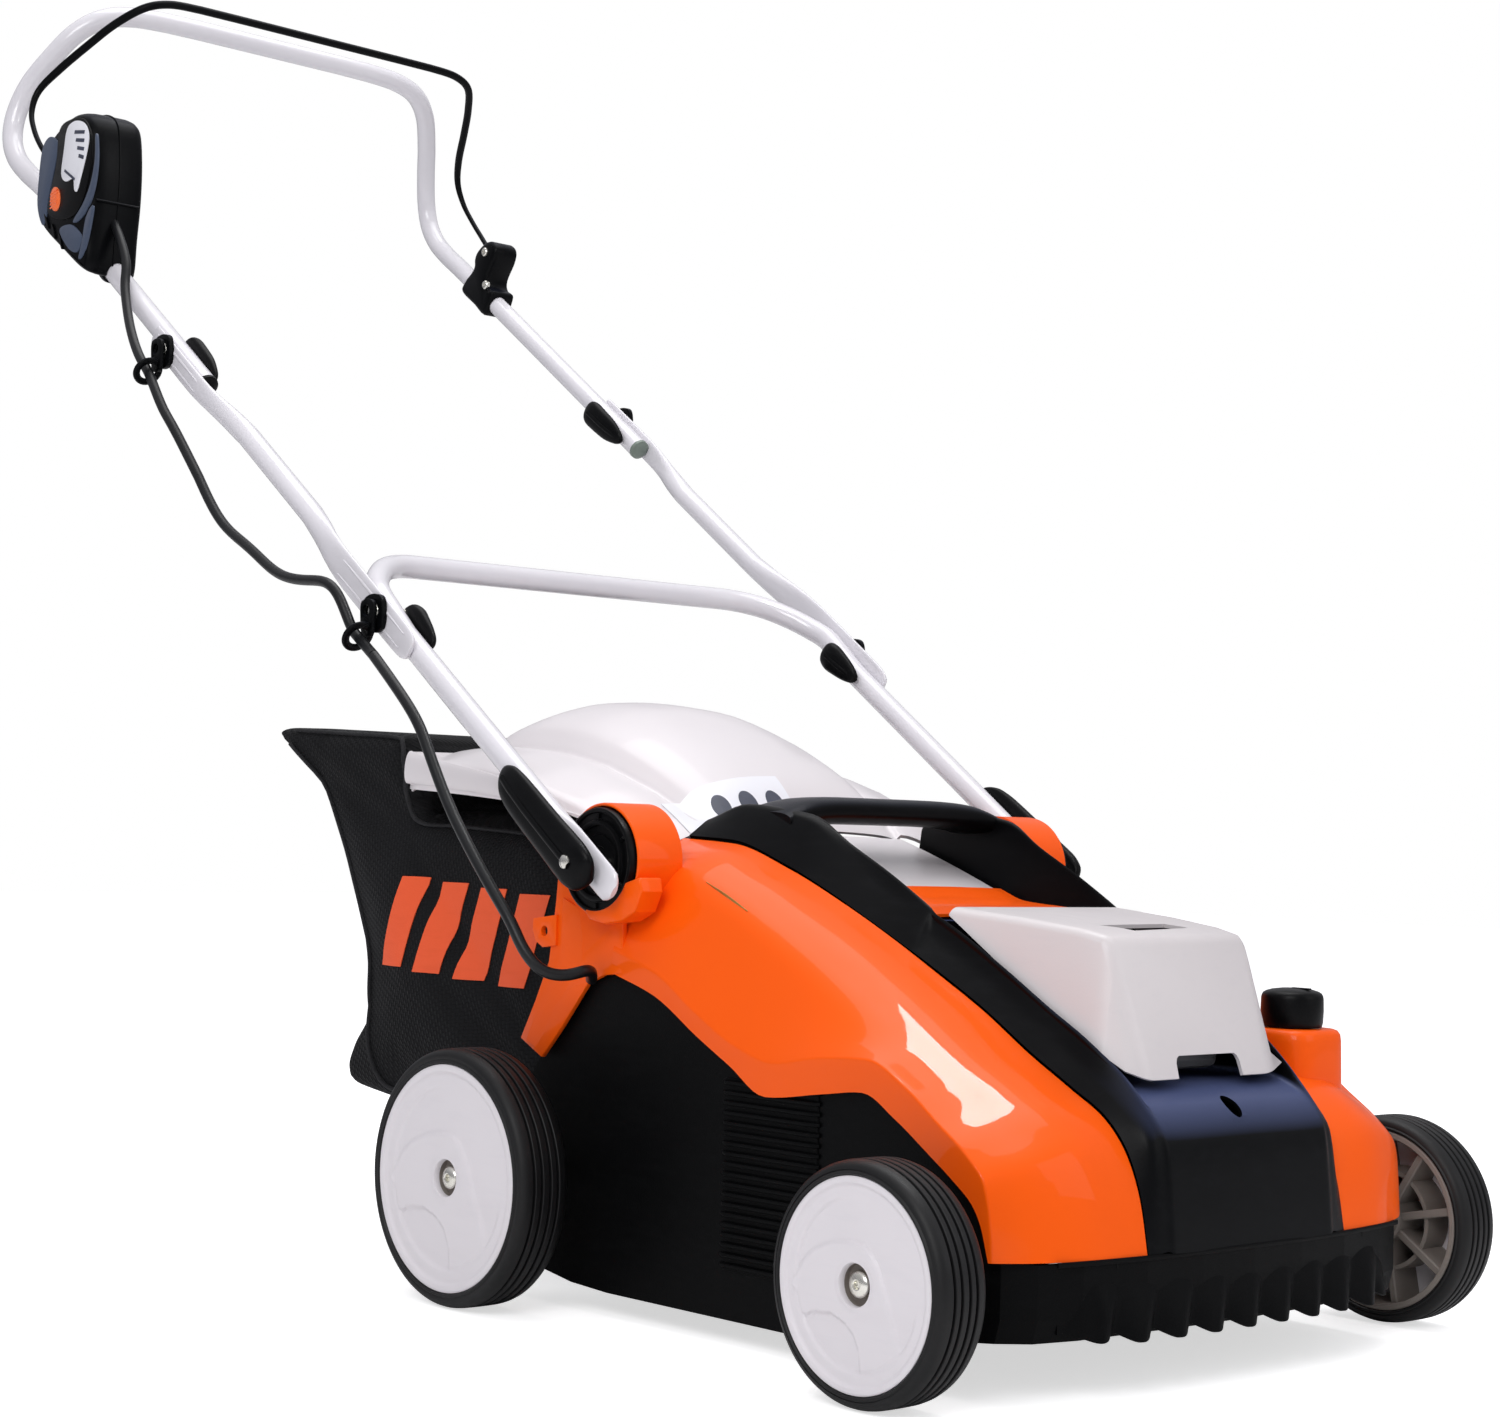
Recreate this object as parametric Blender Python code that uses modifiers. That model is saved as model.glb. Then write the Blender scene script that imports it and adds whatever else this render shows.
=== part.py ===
"""Battery lawn dethatcher (spring-tine scarifier) with a three-piece folding handle and a catcher bag.

Metres. Local frame of the "machine" empty: Y = 0 at the front axle, Z = 0 on the ground, front of
the machine towards -Y, operator towards +Y, the machine's right side towards -X. The empty shifts
everything so that the world origin is the bottom centre of the whole machine.
"""

import bpy
import bmesh
import math
from mathutils import Matrix, Vector

# ---------------------------------------------------------------- driving dimensions
FRONT_AXLE_Y = -0.56801         # world Y of the front axle
GAP = 0.0003                    # clearance between neighbouring pieces
HOUSING_X = 0.2020              # outer face of the housing's side walls
COVER_T = 0.0025                # wall of the moulded covers and the flap
PANEL_T = 0.0020                # wall of the inset panels
BELT_X = 0.180                  # middle plane of the drive belt
REEL_Y, REEL_Z = 0.150, 0.068
MOTOR_Y, MOTOR_Z = 0.165, 0.205
TUBE_R = 0.00925                # handle tubes
LEG_X = 0.234                   # handle legs
# Joint axes along X, as (Y, Z)
TILT_PIVOT = (0.313, 0.312)     # handle on the housing
LOWER_JOINT = (0.560, 0.4935)   # lower bar to middle tubes
UPPER_JOINT = (0.887, 0.728)    # middle tubes to upper bar
BAIL_PIVOT = (1.094, 0.914)
BATTERY_HINGE = (0.1145, 0.2880)
FLAP_HINGE = (0.3440, 0.3370)
DETENT_CENTRE = (TILT_PIVOT[0] + 0.007, TILT_PIVOT[1] + 0.001)

ALONG = Vector((0.0, UPPER_JOINT[0] - LOWER_JOINT[0], UPPER_JOINT[1] - LOWER_JOINT[1]))
MID_LEN = ALONG.length
ALONG.normalize()               # direction of the handle legs, up and to the rear
ACROSS = Vector((0.0, -ALONG.z, ALONG.y))

RIGHT_TURN = (0, -math.pi / 2, 0)               # local +Z towards -X
LEFT_TURN = (0, math.pi / 2, 0)                 # local +Z towards +X
PROFILE_TURN = (math.pi / 2, 0, math.pi / 2)    # local X, Y, Z towards +Y, +Z, +X
LEG_TURN = (math.atan2(ALONG.z, ALONG.y), 0, 0)  # local +Y along the handle legs
SIDES = (("right", -1, RIGHT_TURN), ("left", 1, LEFT_TURN))

PALETTE = {  # base colour, roughness, metallic
    "orange": ((0.95, 0.17, 0.015), 0.25, 0.0),
    "black": ((0.018, 0.019, 0.021), 0.5, 0.0),
    "white": ((0.80, 0.78, 0.80), 0.35, 0.0),
    "tube_white": ((0.82, 0.81, 0.84), 0.2, 0.0),
    "rubber": ((0.012, 0.012, 0.013), 0.6, 0.0),
    "steel": ((0.55, 0.54, 0.50), 0.3, 1.0),
    "fabric": ((0.012, 0.012, 0.012), 0.9, 0.0),
    "grey": ((0.12, 0.12, 0.13), 0.5, 0.0),
}

# ---------------------------------------------------------------- scene
for old in list(bpy.data.objects):
    bpy.data.objects.remove(old, do_unlink=True)

PARTS = bpy.data.collections.new("lawn_dethatcher")
CUTTERS = bpy.data.collections.new("cutters")
bpy.context.scene.collection.children.link(PARTS)
bpy.context.scene.collection.children.link(CUTTERS)
CUTTERS.hide_render = True

MACHINE = bpy.data.objects.new("machine", None)
MACHINE.location = (0, FRONT_AXLE_Y, 0)
PARTS.objects.link(MACHINE)


def material(name, look):
    colour, roughness, metallic = PALETTE[look]
    mat = bpy.data.materials.new(name)
    mat.use_nodes = True
    bsdf = mat.node_tree.nodes["Principled BSDF"]
    bsdf.inputs["Base Color"].default_value = (*colour, 1)
    bsdf.inputs["Roughness"].default_value = roughness
    bsdf.inputs["Metallic"].default_value = metallic
    mat.diffuse_color = (*colour, 1)
    return mat


def add(name, mesh, look, where=(0, 0, 0), turn=(0, 0, 0), parent=MACHINE):
    """Places a mesh as one named piece on its joint axis or reference point."""
    obj = bpy.data.objects.new(name, mesh)
    obj.location = where
    obj.rotation_euler = turn
    obj.parent = parent
    mesh.materials.clear()
    mesh.materials.append(material(name, look))
    PARTS.objects.link(obj)
    return obj


def pivot(name, axis):
    """An empty on a joint axis, for a piece that turns about it."""
    empty = bpy.data.objects.new(name, None)
    empty.location = (0, *axis)
    empty.parent = MACHINE
    PARTS.objects.link(empty)
    return empty


def helper(mesh, where=(0, 0, 0), turn=(0, 0, 0)):
    """A hidden operand for a Boolean."""
    obj = bpy.data.objects.new("cut", mesh)
    obj.location = where
    obj.rotation_euler = turn
    obj.parent = MACHINE
    obj.hide_render = True
    obj.display_type = "WIRE"
    CUTTERS.objects.link(obj)
    return obj


# ---------------------------------------------------------------- modifiers
def boolean(obj, other, operation):
    mod = obj.modifiers.new(operation.lower(), "BOOLEAN")
    mod.operation = operation
    mod.solver = "EXACT"
    mod.object = other


def drill(obj, radius, depth, where, sides=12, turn=LEFT_TURN):
    """Cuts a round hole whose middle is at the given place."""
    boolean(obj, helper(cylinder(radius, depth, sides), where, turn), "DIFFERENCE")


def bevel(obj, width, segments, angle):
    mod = obj.modifiers.new("edges", "BEVEL")
    mod.width = width
    mod.segments = segments
    mod.limit_method = "ANGLE"
    mod.angle_limit = math.radians(angle)


def solidify(obj, thickness):
    mod = obj.modifiers.new("wall", "SOLIDIFY")
    mod.thickness = thickness
    mod.offset = -1
    mod.use_even_offset = True


# ---------------------------------------------------------------- mesh builders
def to_mesh(bm, name, sharp_angle=None):
    """Turns the bmesh into a mesh, smooth below the sharp angle if one is given."""
    mesh = bpy.data.meshes.new(name)
    bm.to_mesh(mesh)
    bm.free()
    if sharp_angle is not None:
        mesh.shade_smooth()
        mesh.set_sharp_from_angle(angle=math.radians(sharp_angle))
    return mesh


def finish(bm, name, sharp_angle=35):
    bmesh.ops.recalc_face_normals(bm, faces=bm.faces[:])
    return to_mesh(bm, name, sharp_angle)


def box(low, high):
    bm = bmesh.new()
    bmesh.ops.create_cube(bm, size=1.0)
    low, high = Vector(low), Vector(high)
    bmesh.ops.scale(bm, vec=high - low, verts=bm.verts)
    bmesh.ops.translate(bm, vec=(low + high) / 2, verts=bm.verts)
    return finish(bm, "box", None)


def cylinder(radius, length, sides, taper=1.0):
    """A cylinder along local Z, centred on the origin."""
    bm = bmesh.new()
    bmesh.ops.create_cone(bm, cap_ends=True, segments=sides, radius1=radius,
                          radius2=radius * taper, depth=length)
    return finish(bm, "cylinder")


def loft(rings):
    """A closed skin over rings of equal point count."""
    bm = bmesh.new()
    loops = [[bm.verts.new(p) for p in ring] for ring in rings]
    count = len(loops[0])
    for near, far in zip(loops, loops[1:]):
        for i in range(count):
            j = (i + 1) % count
            bm.faces.new((near[i], near[j], far[j], far[i]))
    bm.faces.new(loops[0])
    bm.faces.new(loops[-1])
    return finish(bm, "loft")


def outward_sheet(rows, centre):
    """An open surface through rows of points, its normals pointing away from a centre point."""
    bm = bmesh.new()
    grid = [[bm.verts.new(p) for p in row] for row in rows]
    for near, far in zip(grid, grid[1:]):
        for i in range(len(near) - 1):
            bm.faces.new((near[i], near[i + 1], far[i + 1], far[i]))
    bmesh.ops.recalc_face_normals(bm, faces=bm.faces[:])
    centre = Vector(centre)
    outwardness = sum((f.calc_center_median() - centre).dot(f.normal) * f.calc_area()
                      for f in bm.faces)
    if outwardness < 0:
        bmesh.ops.reverse_faces(bm, faces=bm.faces[:])
    return to_mesh(bm, "sheet", 30)


def turned(name, profile, look, where, turn, steps, start=0.0):
    """A piece: a closed profile (radius, height) turned about local Z with a Screw modifier."""
    bm = bmesh.new()
    c, s = math.cos(start), math.sin(start)
    verts = [bm.verts.new((r * c, r * s, z)) for r, z in profile]
    for i in range(len(verts)):
        bm.edges.new((verts[i], verts[(i + 1) % len(verts)]))
    obj = add(name, to_mesh(bm, name), look, where, turn)
    mod = obj.modifiers.new("turn", "SCREW")
    mod.axis = "Z"
    mod.steps = mod.render_steps = steps
    mod.use_merge_vertices = True
    mod.merge_threshold = 0.00001


def spin_mesh(profile, steps, closed=False):
    """A profile (radius, height) spun about local Z. An open one starts and ends on the axis."""
    bm = bmesh.new()
    verts = [bm.verts.new((r, 0, z)) for r, z in profile]
    edges = [bm.edges.new(p) for p in zip(verts, verts[1:])]
    if closed:
        edges.append(bm.edges.new((verts[-1], verts[0])))
    bmesh.ops.spin(bm, geom=verts + edges, cent=(0, 0, 0), axis=(0, 0, 1), angle=math.tau,
                   steps=steps)
    bmesh.ops.remove_doubles(bm, verts=bm.verts, dist=0.00002)
    return finish(bm, "spun")


def add_spline(curve, points, cyclic):
    spline = curve.splines.new("POLY")
    spline.points.add(len(points) - 1)
    for point, position in zip(spline.points, points):
        point.co = (*position, 1)
    spline.use_cyclic_u = cyclic


def outline(points, depth, holes=()):
    """A flat outline in local XY, extruded to a total depth along local Z."""
    curve = bpy.data.curves.new("outline", "CURVE")
    curve.dimensions = "2D"
    curve.fill_mode = "BOTH"
    curve.extrude = depth / 2
    for loop in (points, *holes):
        add_spline(curve, [(x, y, 0) for x, y in loop], True)
    return curve_mesh(curve)


def tube(points, radius, cyclic=False):
    curve = bpy.data.curves.new("tube", "CURVE")
    curve.dimensions = "3D"
    curve.bevel_depth = radius
    curve.bevel_resolution = 1
    curve.use_fill_caps = True
    add_spline(curve, points, cyclic)
    return curve_mesh(curve)


def evaluated_mesh(obj):
    """The object's mesh with its modifiers applied, in its own space."""
    bpy.context.view_layer.update()
    graph = bpy.context.evaluated_depsgraph_get()
    return bpy.data.meshes.new_from_object(obj.evaluated_get(graph))


def curve_mesh(curve):
    """The welded mesh of a curve, ready for Boolean work."""
    source = bpy.data.objects.new("curve", curve)
    bpy.context.scene.collection.objects.link(source)
    bm = bmesh.new()
    bm.from_mesh(evaluated_mesh(source))
    bmesh.ops.remove_doubles(bm, verts=bm.verts, dist=0.00001)
    bpy.data.objects.remove(source, do_unlink=True)
    return finish(bm, "from_curve")


def mirrored_mesh(mesh):
    """The same mesh, mirrored in place in local X."""
    mesh.transform(Matrix.Scale(-1, 4, (1, 0, 0)))
    mesh.flip_normals()
    return mesh


# ---------------------------------------------------------------- point helpers
def superellipse(count, half_a, half_b, power=1.0):
    """Points round an ellipse; a power below 1 squares it off."""
    points = []
    for k in range(count):
        angle = math.tau * k / count
        c, s = math.cos(angle), math.sin(angle)
        points.append((half_a * math.copysign(abs(c) ** power, c),
                       half_b * math.copysign(abs(s) ** power, s)))
    return points


def smooth_path(points, per):
    """Catmull-Rom points through a coarse path, with a number of steps per span."""
    pts = [Vector(p) for p in points]
    last = len(pts) - 1
    out = []
    for i in range(last):
        before, start, end, after = pts[max(i - 1, 0)], pts[i], pts[i + 1], pts[min(i + 2, last)]
        for k in range(per):
            t = k / per
            out.append(0.5 * ((2 * start) + (end - before) * t
                              + (2 * before - 5 * start + 4 * end - after) * t * t
                              + (3 * start - before - 3 * end + after) * t ** 3))
    out.append(pts[-1])
    return out


def mirror_x(points):
    return [(-x, y, z) for x, y, z in points]


def both_sides(half):
    """A path or row that starts at +X and ends on the centre line, continued to -X."""
    return [Vector(p) for p in half + mirror_x(half[-2::-1])]


def relative(points, axis):
    """Points measured from a joint axis (Y, Z)."""
    return [(x, y - axis[0], z - axis[1]) for x, y, z in points]


def leg_point(axis, s, x):
    """A point at distance s up the leg from a joint axis."""
    return (x, axis[0] + ALONG.y * s, axis[1] + ALONG.z * s)


# ---------------------------------------------------------------- wheels and axles
FRONT_R, FRONT_W = 0.0732, 0.041
REAR_R, REAR_W = 0.0900, 0.043
REAR_AXLE_Y = 0.408
WHEEL_OUT = 0.280               # outer face of every wheel
WHEEL_SIDES = 36
HUB_SHANK_R = 0.0055
WHEEL_BOLT_REACH = 0.004        # how far the bolt passes the wheel's inner face


def wheel_height(radius):
    """Axle height when a flat facet of the tread rests on the ground."""
    return radius * math.cos(math.pi / WHEEL_SIDES)


FRONT_Z = wheel_height(FRONT_R)
REAR_Z = wheel_height(REAR_R)


def wheel(tag, sign, turn, y, radius, width, tyre_depth):
    """Tyre, rim and bolt; local +Z is outwards."""
    where = (sign * (WHEEL_OUT - width / 2), y, wheel_height(radius))
    w = width / 2
    seat = radius - tyre_depth
    tyre = [(seat, w), (radius - 0.003, w), (radius, w - 0.0035), (radius, 0.0035 - w),
            (radius - 0.003, -w), (seat, -w)]
    # Half a step of start angle turns a flat facet of the tread straight down.
    turned(f"tyre_{tag}", tyre, "rubber", where, turn, WHEEL_SIDES, math.pi / WHEEL_SIDES)
    rim_r = seat - GAP
    bore = HUB_SHANK_R + GAP
    rim = [(rim_r, w - 0.001), (rim_r, 0.001 - w), (rim_r - 0.0035, 0.001 - w),
           (rim_r - 0.0045, w - 0.0125), (0.0160, w - 0.0125), (0.0150, -w + 0.005),
           (bore, -w + 0.005), (bore, w - 0.0100), (0.0128, w - 0.0100), (0.0128, w - 0.0040),
           (rim_r - 0.0050, w - 0.0040), (rim_r - 0.0035, w - 0.0010)]
    turned(f"rim_{tag}", rim, "white", where, turn, 24)
    bolt_end = -w - WHEEL_BOLT_REACH
    hub_bolt = [(0, w - 0.0040), (0.0060, w - 0.0042), (0.0085, w - 0.0060), (0.0085, w - 0.0097),
                (HUB_SHANK_R, w - 0.0097), (HUB_SHANK_R, bolt_end), (0, bolt_end)]
    add(f"wheel_bolt_{tag}", spin_mesh(hub_bolt, 16), "steel", where, turn)


def axle(name, radius, wheel_w, y, z):
    """A rod that ends just inside the wheel bolts."""
    half_length = WHEEL_OUT - wheel_w - WHEEL_BOLT_REACH - GAP
    add(name, cylinder(radius, 2 * half_length, 20), "steel", (0, y, z), LEFT_TURN)


for tag, sign, turn in SIDES:
    wheel(f"front_{tag}", sign, turn, 0.0, FRONT_R, FRONT_W, tyre_depth=0.0095)
    wheel(f"rear_{tag}", sign, turn, REAR_AXLE_Y, REAR_R, REAR_W, tyre_depth=0.0112)
axle("front_axle", 0.008, FRONT_W, 0, FRONT_Z)
axle("rear_axle", 0.006, REAR_W, REAR_AXLE_Y, REAR_Z)

# ---------------------------------------------------------------- orange side covers
# Left cover. Rows (x, y, z) follow each other from the front foot up over the machine to the
# handle pivot; each row runs from the edge beside the spine outwards to the lower edge.
COVER_ROWS = [
    ((0.1000, -0.0720, 0.0850), (0.1500, -0.0680, 0.0850), (0.1850, -0.0560, 0.0850),
     (0.2062, -0.0420, 0.0850), (0.2074, -0.0400, 0.0850)),
    ((0.1000, -0.0660, 0.1150), (0.1500, -0.0640, 0.1140), (0.1850, -0.0535, 0.1120),
     (0.2070, -0.0400, 0.1100), (0.2072, -0.0330, 0.1060)),
    ((0.1005, -0.0550, 0.1430), (0.1500, -0.0560, 0.1450), (0.1850, -0.0480, 0.1390),
     (0.2085, -0.0360, 0.1310), (0.2070, -0.0250, 0.1180)),
    ((0.1010, -0.0370, 0.1640), (0.1480, -0.0390, 0.1660), (0.1855, -0.0270, 0.1560),
     (0.2090, -0.0220, 0.1465), (0.2070, -0.0080, 0.1310)),
    ((0.1020, -0.0080, 0.1810), (0.1480, -0.0080, 0.1850), (0.1865, 0.0020, 0.1720),
     (0.2095, 0.0030, 0.1640), (0.2070, 0.0120, 0.1440)),
    ((0.1050, 0.0220, 0.1990), (0.1500, 0.0230, 0.2010), (0.1875, 0.0280, 0.1870),
     (0.2095, 0.0310, 0.1830), (0.2070, 0.0400, 0.1615)),
    ((0.1080, 0.0600, 0.2240), (0.1520, 0.0620, 0.2230), (0.1880, 0.0650, 0.2080),
     (0.2100, 0.0640, 0.1970), (0.2070, 0.0700, 0.1755)),
    ((0.1120, 0.0980, 0.2460), (0.1550, 0.1010, 0.2450), (0.1885, 0.1040, 0.2300),
     (0.2105, 0.1060, 0.1945), (0.2075, 0.1050, 0.1715)),
    ((0.1160, 0.1400, 0.2690), (0.1580, 0.1440, 0.2680), (0.1890, 0.1500, 0.2540),
     (0.2105, 0.1510, 0.1875), (0.2080, 0.1580, 0.1650)),
    ((0.1200, 0.1800, 0.2890), (0.1600, 0.1850, 0.2870), (0.1895, 0.1880, 0.2740),
     (0.2105, 0.1870, 0.1960), (0.2080, 0.1930, 0.1820)),
    ((0.1250, 0.2300, 0.3110), (0.1620, 0.2290, 0.3060), (0.1895, 0.2280, 0.2920),
     (0.2105, 0.2290, 0.2160), (0.2080, 0.2270, 0.1990)),
    ((0.1300, 0.2800, 0.3270), (0.1620, 0.2750, 0.3200), (0.1880, 0.2680, 0.3050),
     (0.2100, 0.2700, 0.2390), (0.2080, 0.2720, 0.2230)),
    ((0.1310, 0.3350, 0.3300), (0.1620, 0.3230, 0.3200), (0.1880, 0.3150, 0.3060),
     (0.2100, 0.3150, 0.2520), (0.2080, 0.3180, 0.2360)),
]
STRUT = [  # y, z
    (0.3060, 0.2360), (0.3060, 0.2780), (0.3420, 0.3000), (0.3800, 0.2890), (0.3880, 0.2400),
    (0.4180, 0.1840), (0.3930, 0.1720), (0.3430, 0.2270), (0.3250, 0.2340),
]
STRUT_X, STRUT_T = 0.2065, 0.0050
CUP_X, CUP_R, CUP_HALF_W = 0.1930, 0.0400, 0.0250
CUP_BORE_X, CUP_BORE_R = 0.20617, 0.0376
KNOB_X, KNOB_Y = 0.150, 0.010
TURRET_R, TURRET_H, TURRET_Z = 0.0250, 0.0360, 0.1925    # Z of the turret's middle


def profile_helper(points, width, x=0):
    """A Boolean operand: a (Y, Z) outline with its width centred on x."""
    return helper(outline(points, width), (x, 0, 0), PROFILE_TURN)


cover = add("side_cover_left", outward_sheet(COVER_ROWS, (0, 0.15, 0.05)), "orange")
solidify(cover, COVER_T)
# Rear strut: a thin upright plate that closes the corner behind the pivot.
boolean(cover, profile_helper(STRUT, STRUT_T, STRUT_X), "UNION")
# Open cup round the detent disc.
cup = spin_mesh([(0, CUP_HALF_W), (CUP_R, CUP_HALF_W), (CUP_R, -CUP_HALF_W), (0, -CUP_HALF_W)], 28)
boolean(cover, helper(cup, (CUP_X, *DETENT_CENTRE), LEFT_TURN), "UNION")
drill(cover, CUP_BORE_R, 0.0700, (CUP_BORE_X, *DETENT_CENTRE), 26)
add("side_cover_right", mirrored_mesh(evaluated_mesh(cover)), "orange")
# Only the left cover carries the turret of the depth knob.
turret = cylinder(TURRET_R, TURRET_H, 28, taper=0.94)
boolean(cover, helper(turret, (KNOB_X, KNOB_Y, TURRET_Z)), "UNION")

# ---------------------------------------------------------------- deck housing
# A U-shaped wall (side, curved bumper, side) open underneath and at the rear.
WALL_T = 0.004
BUMPER_LEAN = 0.004             # how far the bumper's bottom edge is set back
SIDE_WALL = [  # y, bottom z, top z, from the rear to the front
    (0.4400, 0.0600, 0.1200), (0.4250, 0.0400, 0.1400), (0.3980, 0.0240, 0.1780),
    (0.3600, 0.0180, 0.2180), (0.3200, 0.0160, 0.2440), (0.2720, 0.0160, 0.2300),
    (0.2270, 0.0160, 0.2060), (0.1930, 0.0160, 0.1890), (0.1580, 0.0160, 0.1720),
    (0.1050, 0.0160, 0.1790), (0.0700, 0.0180, 0.1820), (0.0400, 0.0220, 0.1690),
    (0.0120, 0.0280, 0.1510), (-0.0080, 0.0320, 0.1360),
]
BUMPER = [  # x, y, bottom z, top z, from the side to the centre line
    (0.2010, -0.0250, 0.0350, 0.1180), (0.1960, -0.0400, 0.0360, 0.0845),
    (0.1800, -0.0555, 0.0365, 0.0835), (0.1500, -0.0650, 0.0370, 0.0835),
    (0.1000, -0.0725, 0.0380, 0.0835), (0.0500, -0.0755, 0.0380, 0.0835),
    (0.0, -0.0765, 0.0380, 0.0835),
]
# Cross plates inside the housing: upper surface, as (y, z)
CEILING = [(-0.0420, 0.1010), (0.0200, 0.1150), (0.0720, 0.1290), (0.1500, 0.1400),
           (0.2150, 0.1520), (0.3000, 0.2400), (0.3700, 0.3050)]
SHELF = [(-0.0690, 0.0820), (-0.0400, 0.1016), (0.0, 0.1110)]
DEFLECTOR = [(0.2320, 0.0220), (0.2600, 0.0420), (0.3200, 0.0520), (0.4220, 0.0560)]
CROSS_PLATES = [  # upper surface, thickness, width, middle x
    (CEILING, 0.0030, 0.3720, -0.0140), (SHELF, 0.0035, 0.2500, 0), (DEFLECTOR, 0.0030, 0.4000, 0),
]
SLOT_X = 0.2120
SLOT_HALF = (0.02, 0.0115, 0.0280)      # half size in X, Y, Z

left_wall = [(HOUSING_X, *station) for station in SIDE_WALL] + BUMPER
rows = []
for x, y, low, high in [(-x, *rest) for x, *rest in left_wall] + left_wall[-2::-1]:
    lean = 0.0 if abs(x) == HOUSING_X else BUMPER_LEAN
    rows.append([(x, y + lean, low), (x, y, low + 0.3 * (high - low)),
                 (x, y, low + 0.7 * (high - low)), (x, y, high)])
housing = add("deck_housing", outward_sheet(rows, (0, 0.2, 0.1)), "black")
solidify(housing, WALL_T)
for surface, thickness, width, x in CROSS_PLATES:
    underside = [(y, z - thickness) for y, z in reversed(surface)]
    boolean(housing, profile_helper(surface + underside, width, x), "UNION")
for sign in (-1, 1):
    # Upright slot for the front axle, round hole for the rear axle.
    slot_at = Vector((sign * SLOT_X, 0, FRONT_Z))
    slot_half = Vector(SLOT_HALF)
    boolean(housing, helper(box(slot_at - slot_half, slot_at + slot_half)), "DIFFERENCE")
    drill(housing, 0.0068, 0.03, (sign * 0.2, REAR_AXLE_Y, REAR_Z), 20)

# ---------------------------------------------------------------- spine cover
# Nose, floor and two rails, joined by the carry handle.
SPINE_GAP = 0.0008              # between the rail's foot and the side cover's edge
SPINE_STATIONS = [
    # y, floor z, rail inner x | rail crest y, x, z | side cover edge x, y, z | rise of the
    # rail's inner face above the crest
    (-0.0770, 0.0850, 0.0800, -0.0740, 0.0920, 0.0850, 0.1000, -0.0725, 0.0850, -0.0015),
    (-0.0740, 0.1180, 0.0800, -0.0710, 0.0920, 0.1180, 0.1000, -0.0668, 0.1150, -0.0015),
    (-0.0700, 0.1500, 0.0800, -0.0660, 0.0920, 0.1510, 0.1005, -0.0560, 0.1440, -0.0015),
    (-0.0500, 0.1740, 0.0800, -0.0430, 0.0925, 0.1730, 0.1010, -0.0378, 0.1655, 0.0100),
    (-0.0150, 0.1840, 0.0840, -0.0120, 0.0935, 0.1930, 0.1020, -0.0085, 0.1825, 0.0175),
    (0.0200, 0.1840, 0.0860, 0.0200, 0.0960, 0.2140, 0.1050, 0.0215, 0.2005, 0.0165),
    (0.0600, 0.1840, 0.0880, 0.0600, 0.0975, 0.2390, 0.1080, 0.0597, 0.2255, 0.0160),
    (0.0980, 0.1840, 0.0900, 0.0980, 0.0990, 0.2620, 0.1120, 0.0977, 0.2475, 0.0145),
    (0.1180, 0.1840, 0.0910, 0.1180, 0.0995, 0.2740, 0.1140, 0.1180, 0.2585, 0.0125),
    (0.1230, 0.2800, 0.0910, 0.1230, 0.1000, 0.2815, 0.1145, 0.1230, 0.2610, 0.0090),
    (0.1600, 0.2840, 0.0920, 0.1600, 0.1010, 0.3010, 0.1180, 0.1600, 0.2800, 0.0110),
    (0.2000, 0.2870, 0.0930, 0.2000, 0.1020, 0.3260, 0.1220, 0.1998, 0.2995, 0.0060),
    (0.2350, 0.2890, 0.0940, 0.2350, 0.1060, 0.3480, 0.1255, 0.2348, 0.3145, 0.0020),
    (0.2900, 0.3000, 0.0960, 0.2900, 0.1120, 0.3560, 0.1300, 0.2850, 0.3300, -0.0015),
    (0.3250, 0.3200, 0.0980, 0.3250, 0.1160, 0.3450, 0.1310, 0.3300, 0.3320, -0.0015),
]
CARRY_STATIONS = (-0.1140, -0.1080, -0.0980, -0.0800, -0.0450, 0.0,
                  0.0450, 0.0800, 0.0980, 0.1080, 0.1140)
CARRY_HALF_Y, CARRY_HALF_Z = 0.0260, 0.0095


def spine_row(y, floor, x_in, y_crest, x_crest, z_crest, x_edge, y_foot, z_foot, rise):
    """One cross section, from the right rail's foot to the left rail's foot."""
    half = [(0.0, y, floor), (x_in * 0.72, y, floor - 0.0005), (x_in, y, floor),
            (x_in + 0.0035, (y + y_crest) / 2, max(floor + 0.0015, z_crest + rise)),
            (x_crest, y_crest, z_crest), (x_edge - SPINE_GAP, y_foot, z_foot)]
    return mirror_x(half[:0:-1]) + half


def carry_handle():
    """A bar across the machine between the crests of the two rails, bowed back and up."""
    rings = []
    for x in CARRY_STATIONS:
        t = abs(x) / CARRY_STATIONS[-1]
        y_mid, z_mid = 0.2740 - 0.006 * t, 0.3525 - 0.012 * t ** 5
        rings.append([(x, y_mid + dy, z_mid + dz)
                      for dy, dz in superellipse(12, CARRY_HALF_Y, CARRY_HALF_Z, 0.7)])
    return loft(rings)


spine = add("spine_cover", outward_sheet([spine_row(*station) for station in SPINE_STATIONS],
                                         (0, 0.12, -0.3)), "black")
solidify(spine, COVER_T)
boolean(spine, helper(carry_handle()), "UNION")
# Round hole in the sloping nose.
drill(spine, 0.0055, 0.03, (0, -0.0575, 0.1690), 16, (math.radians(-55), 0, 0))
# Hand opening through the floor below the carry handle; the hood panel lies in it.
boolean(spine, helper(box((-0.0900, 0.2080, 0.2700), (0.0900, 0.3160, 0.3300))), "DIFFERENCE")

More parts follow.
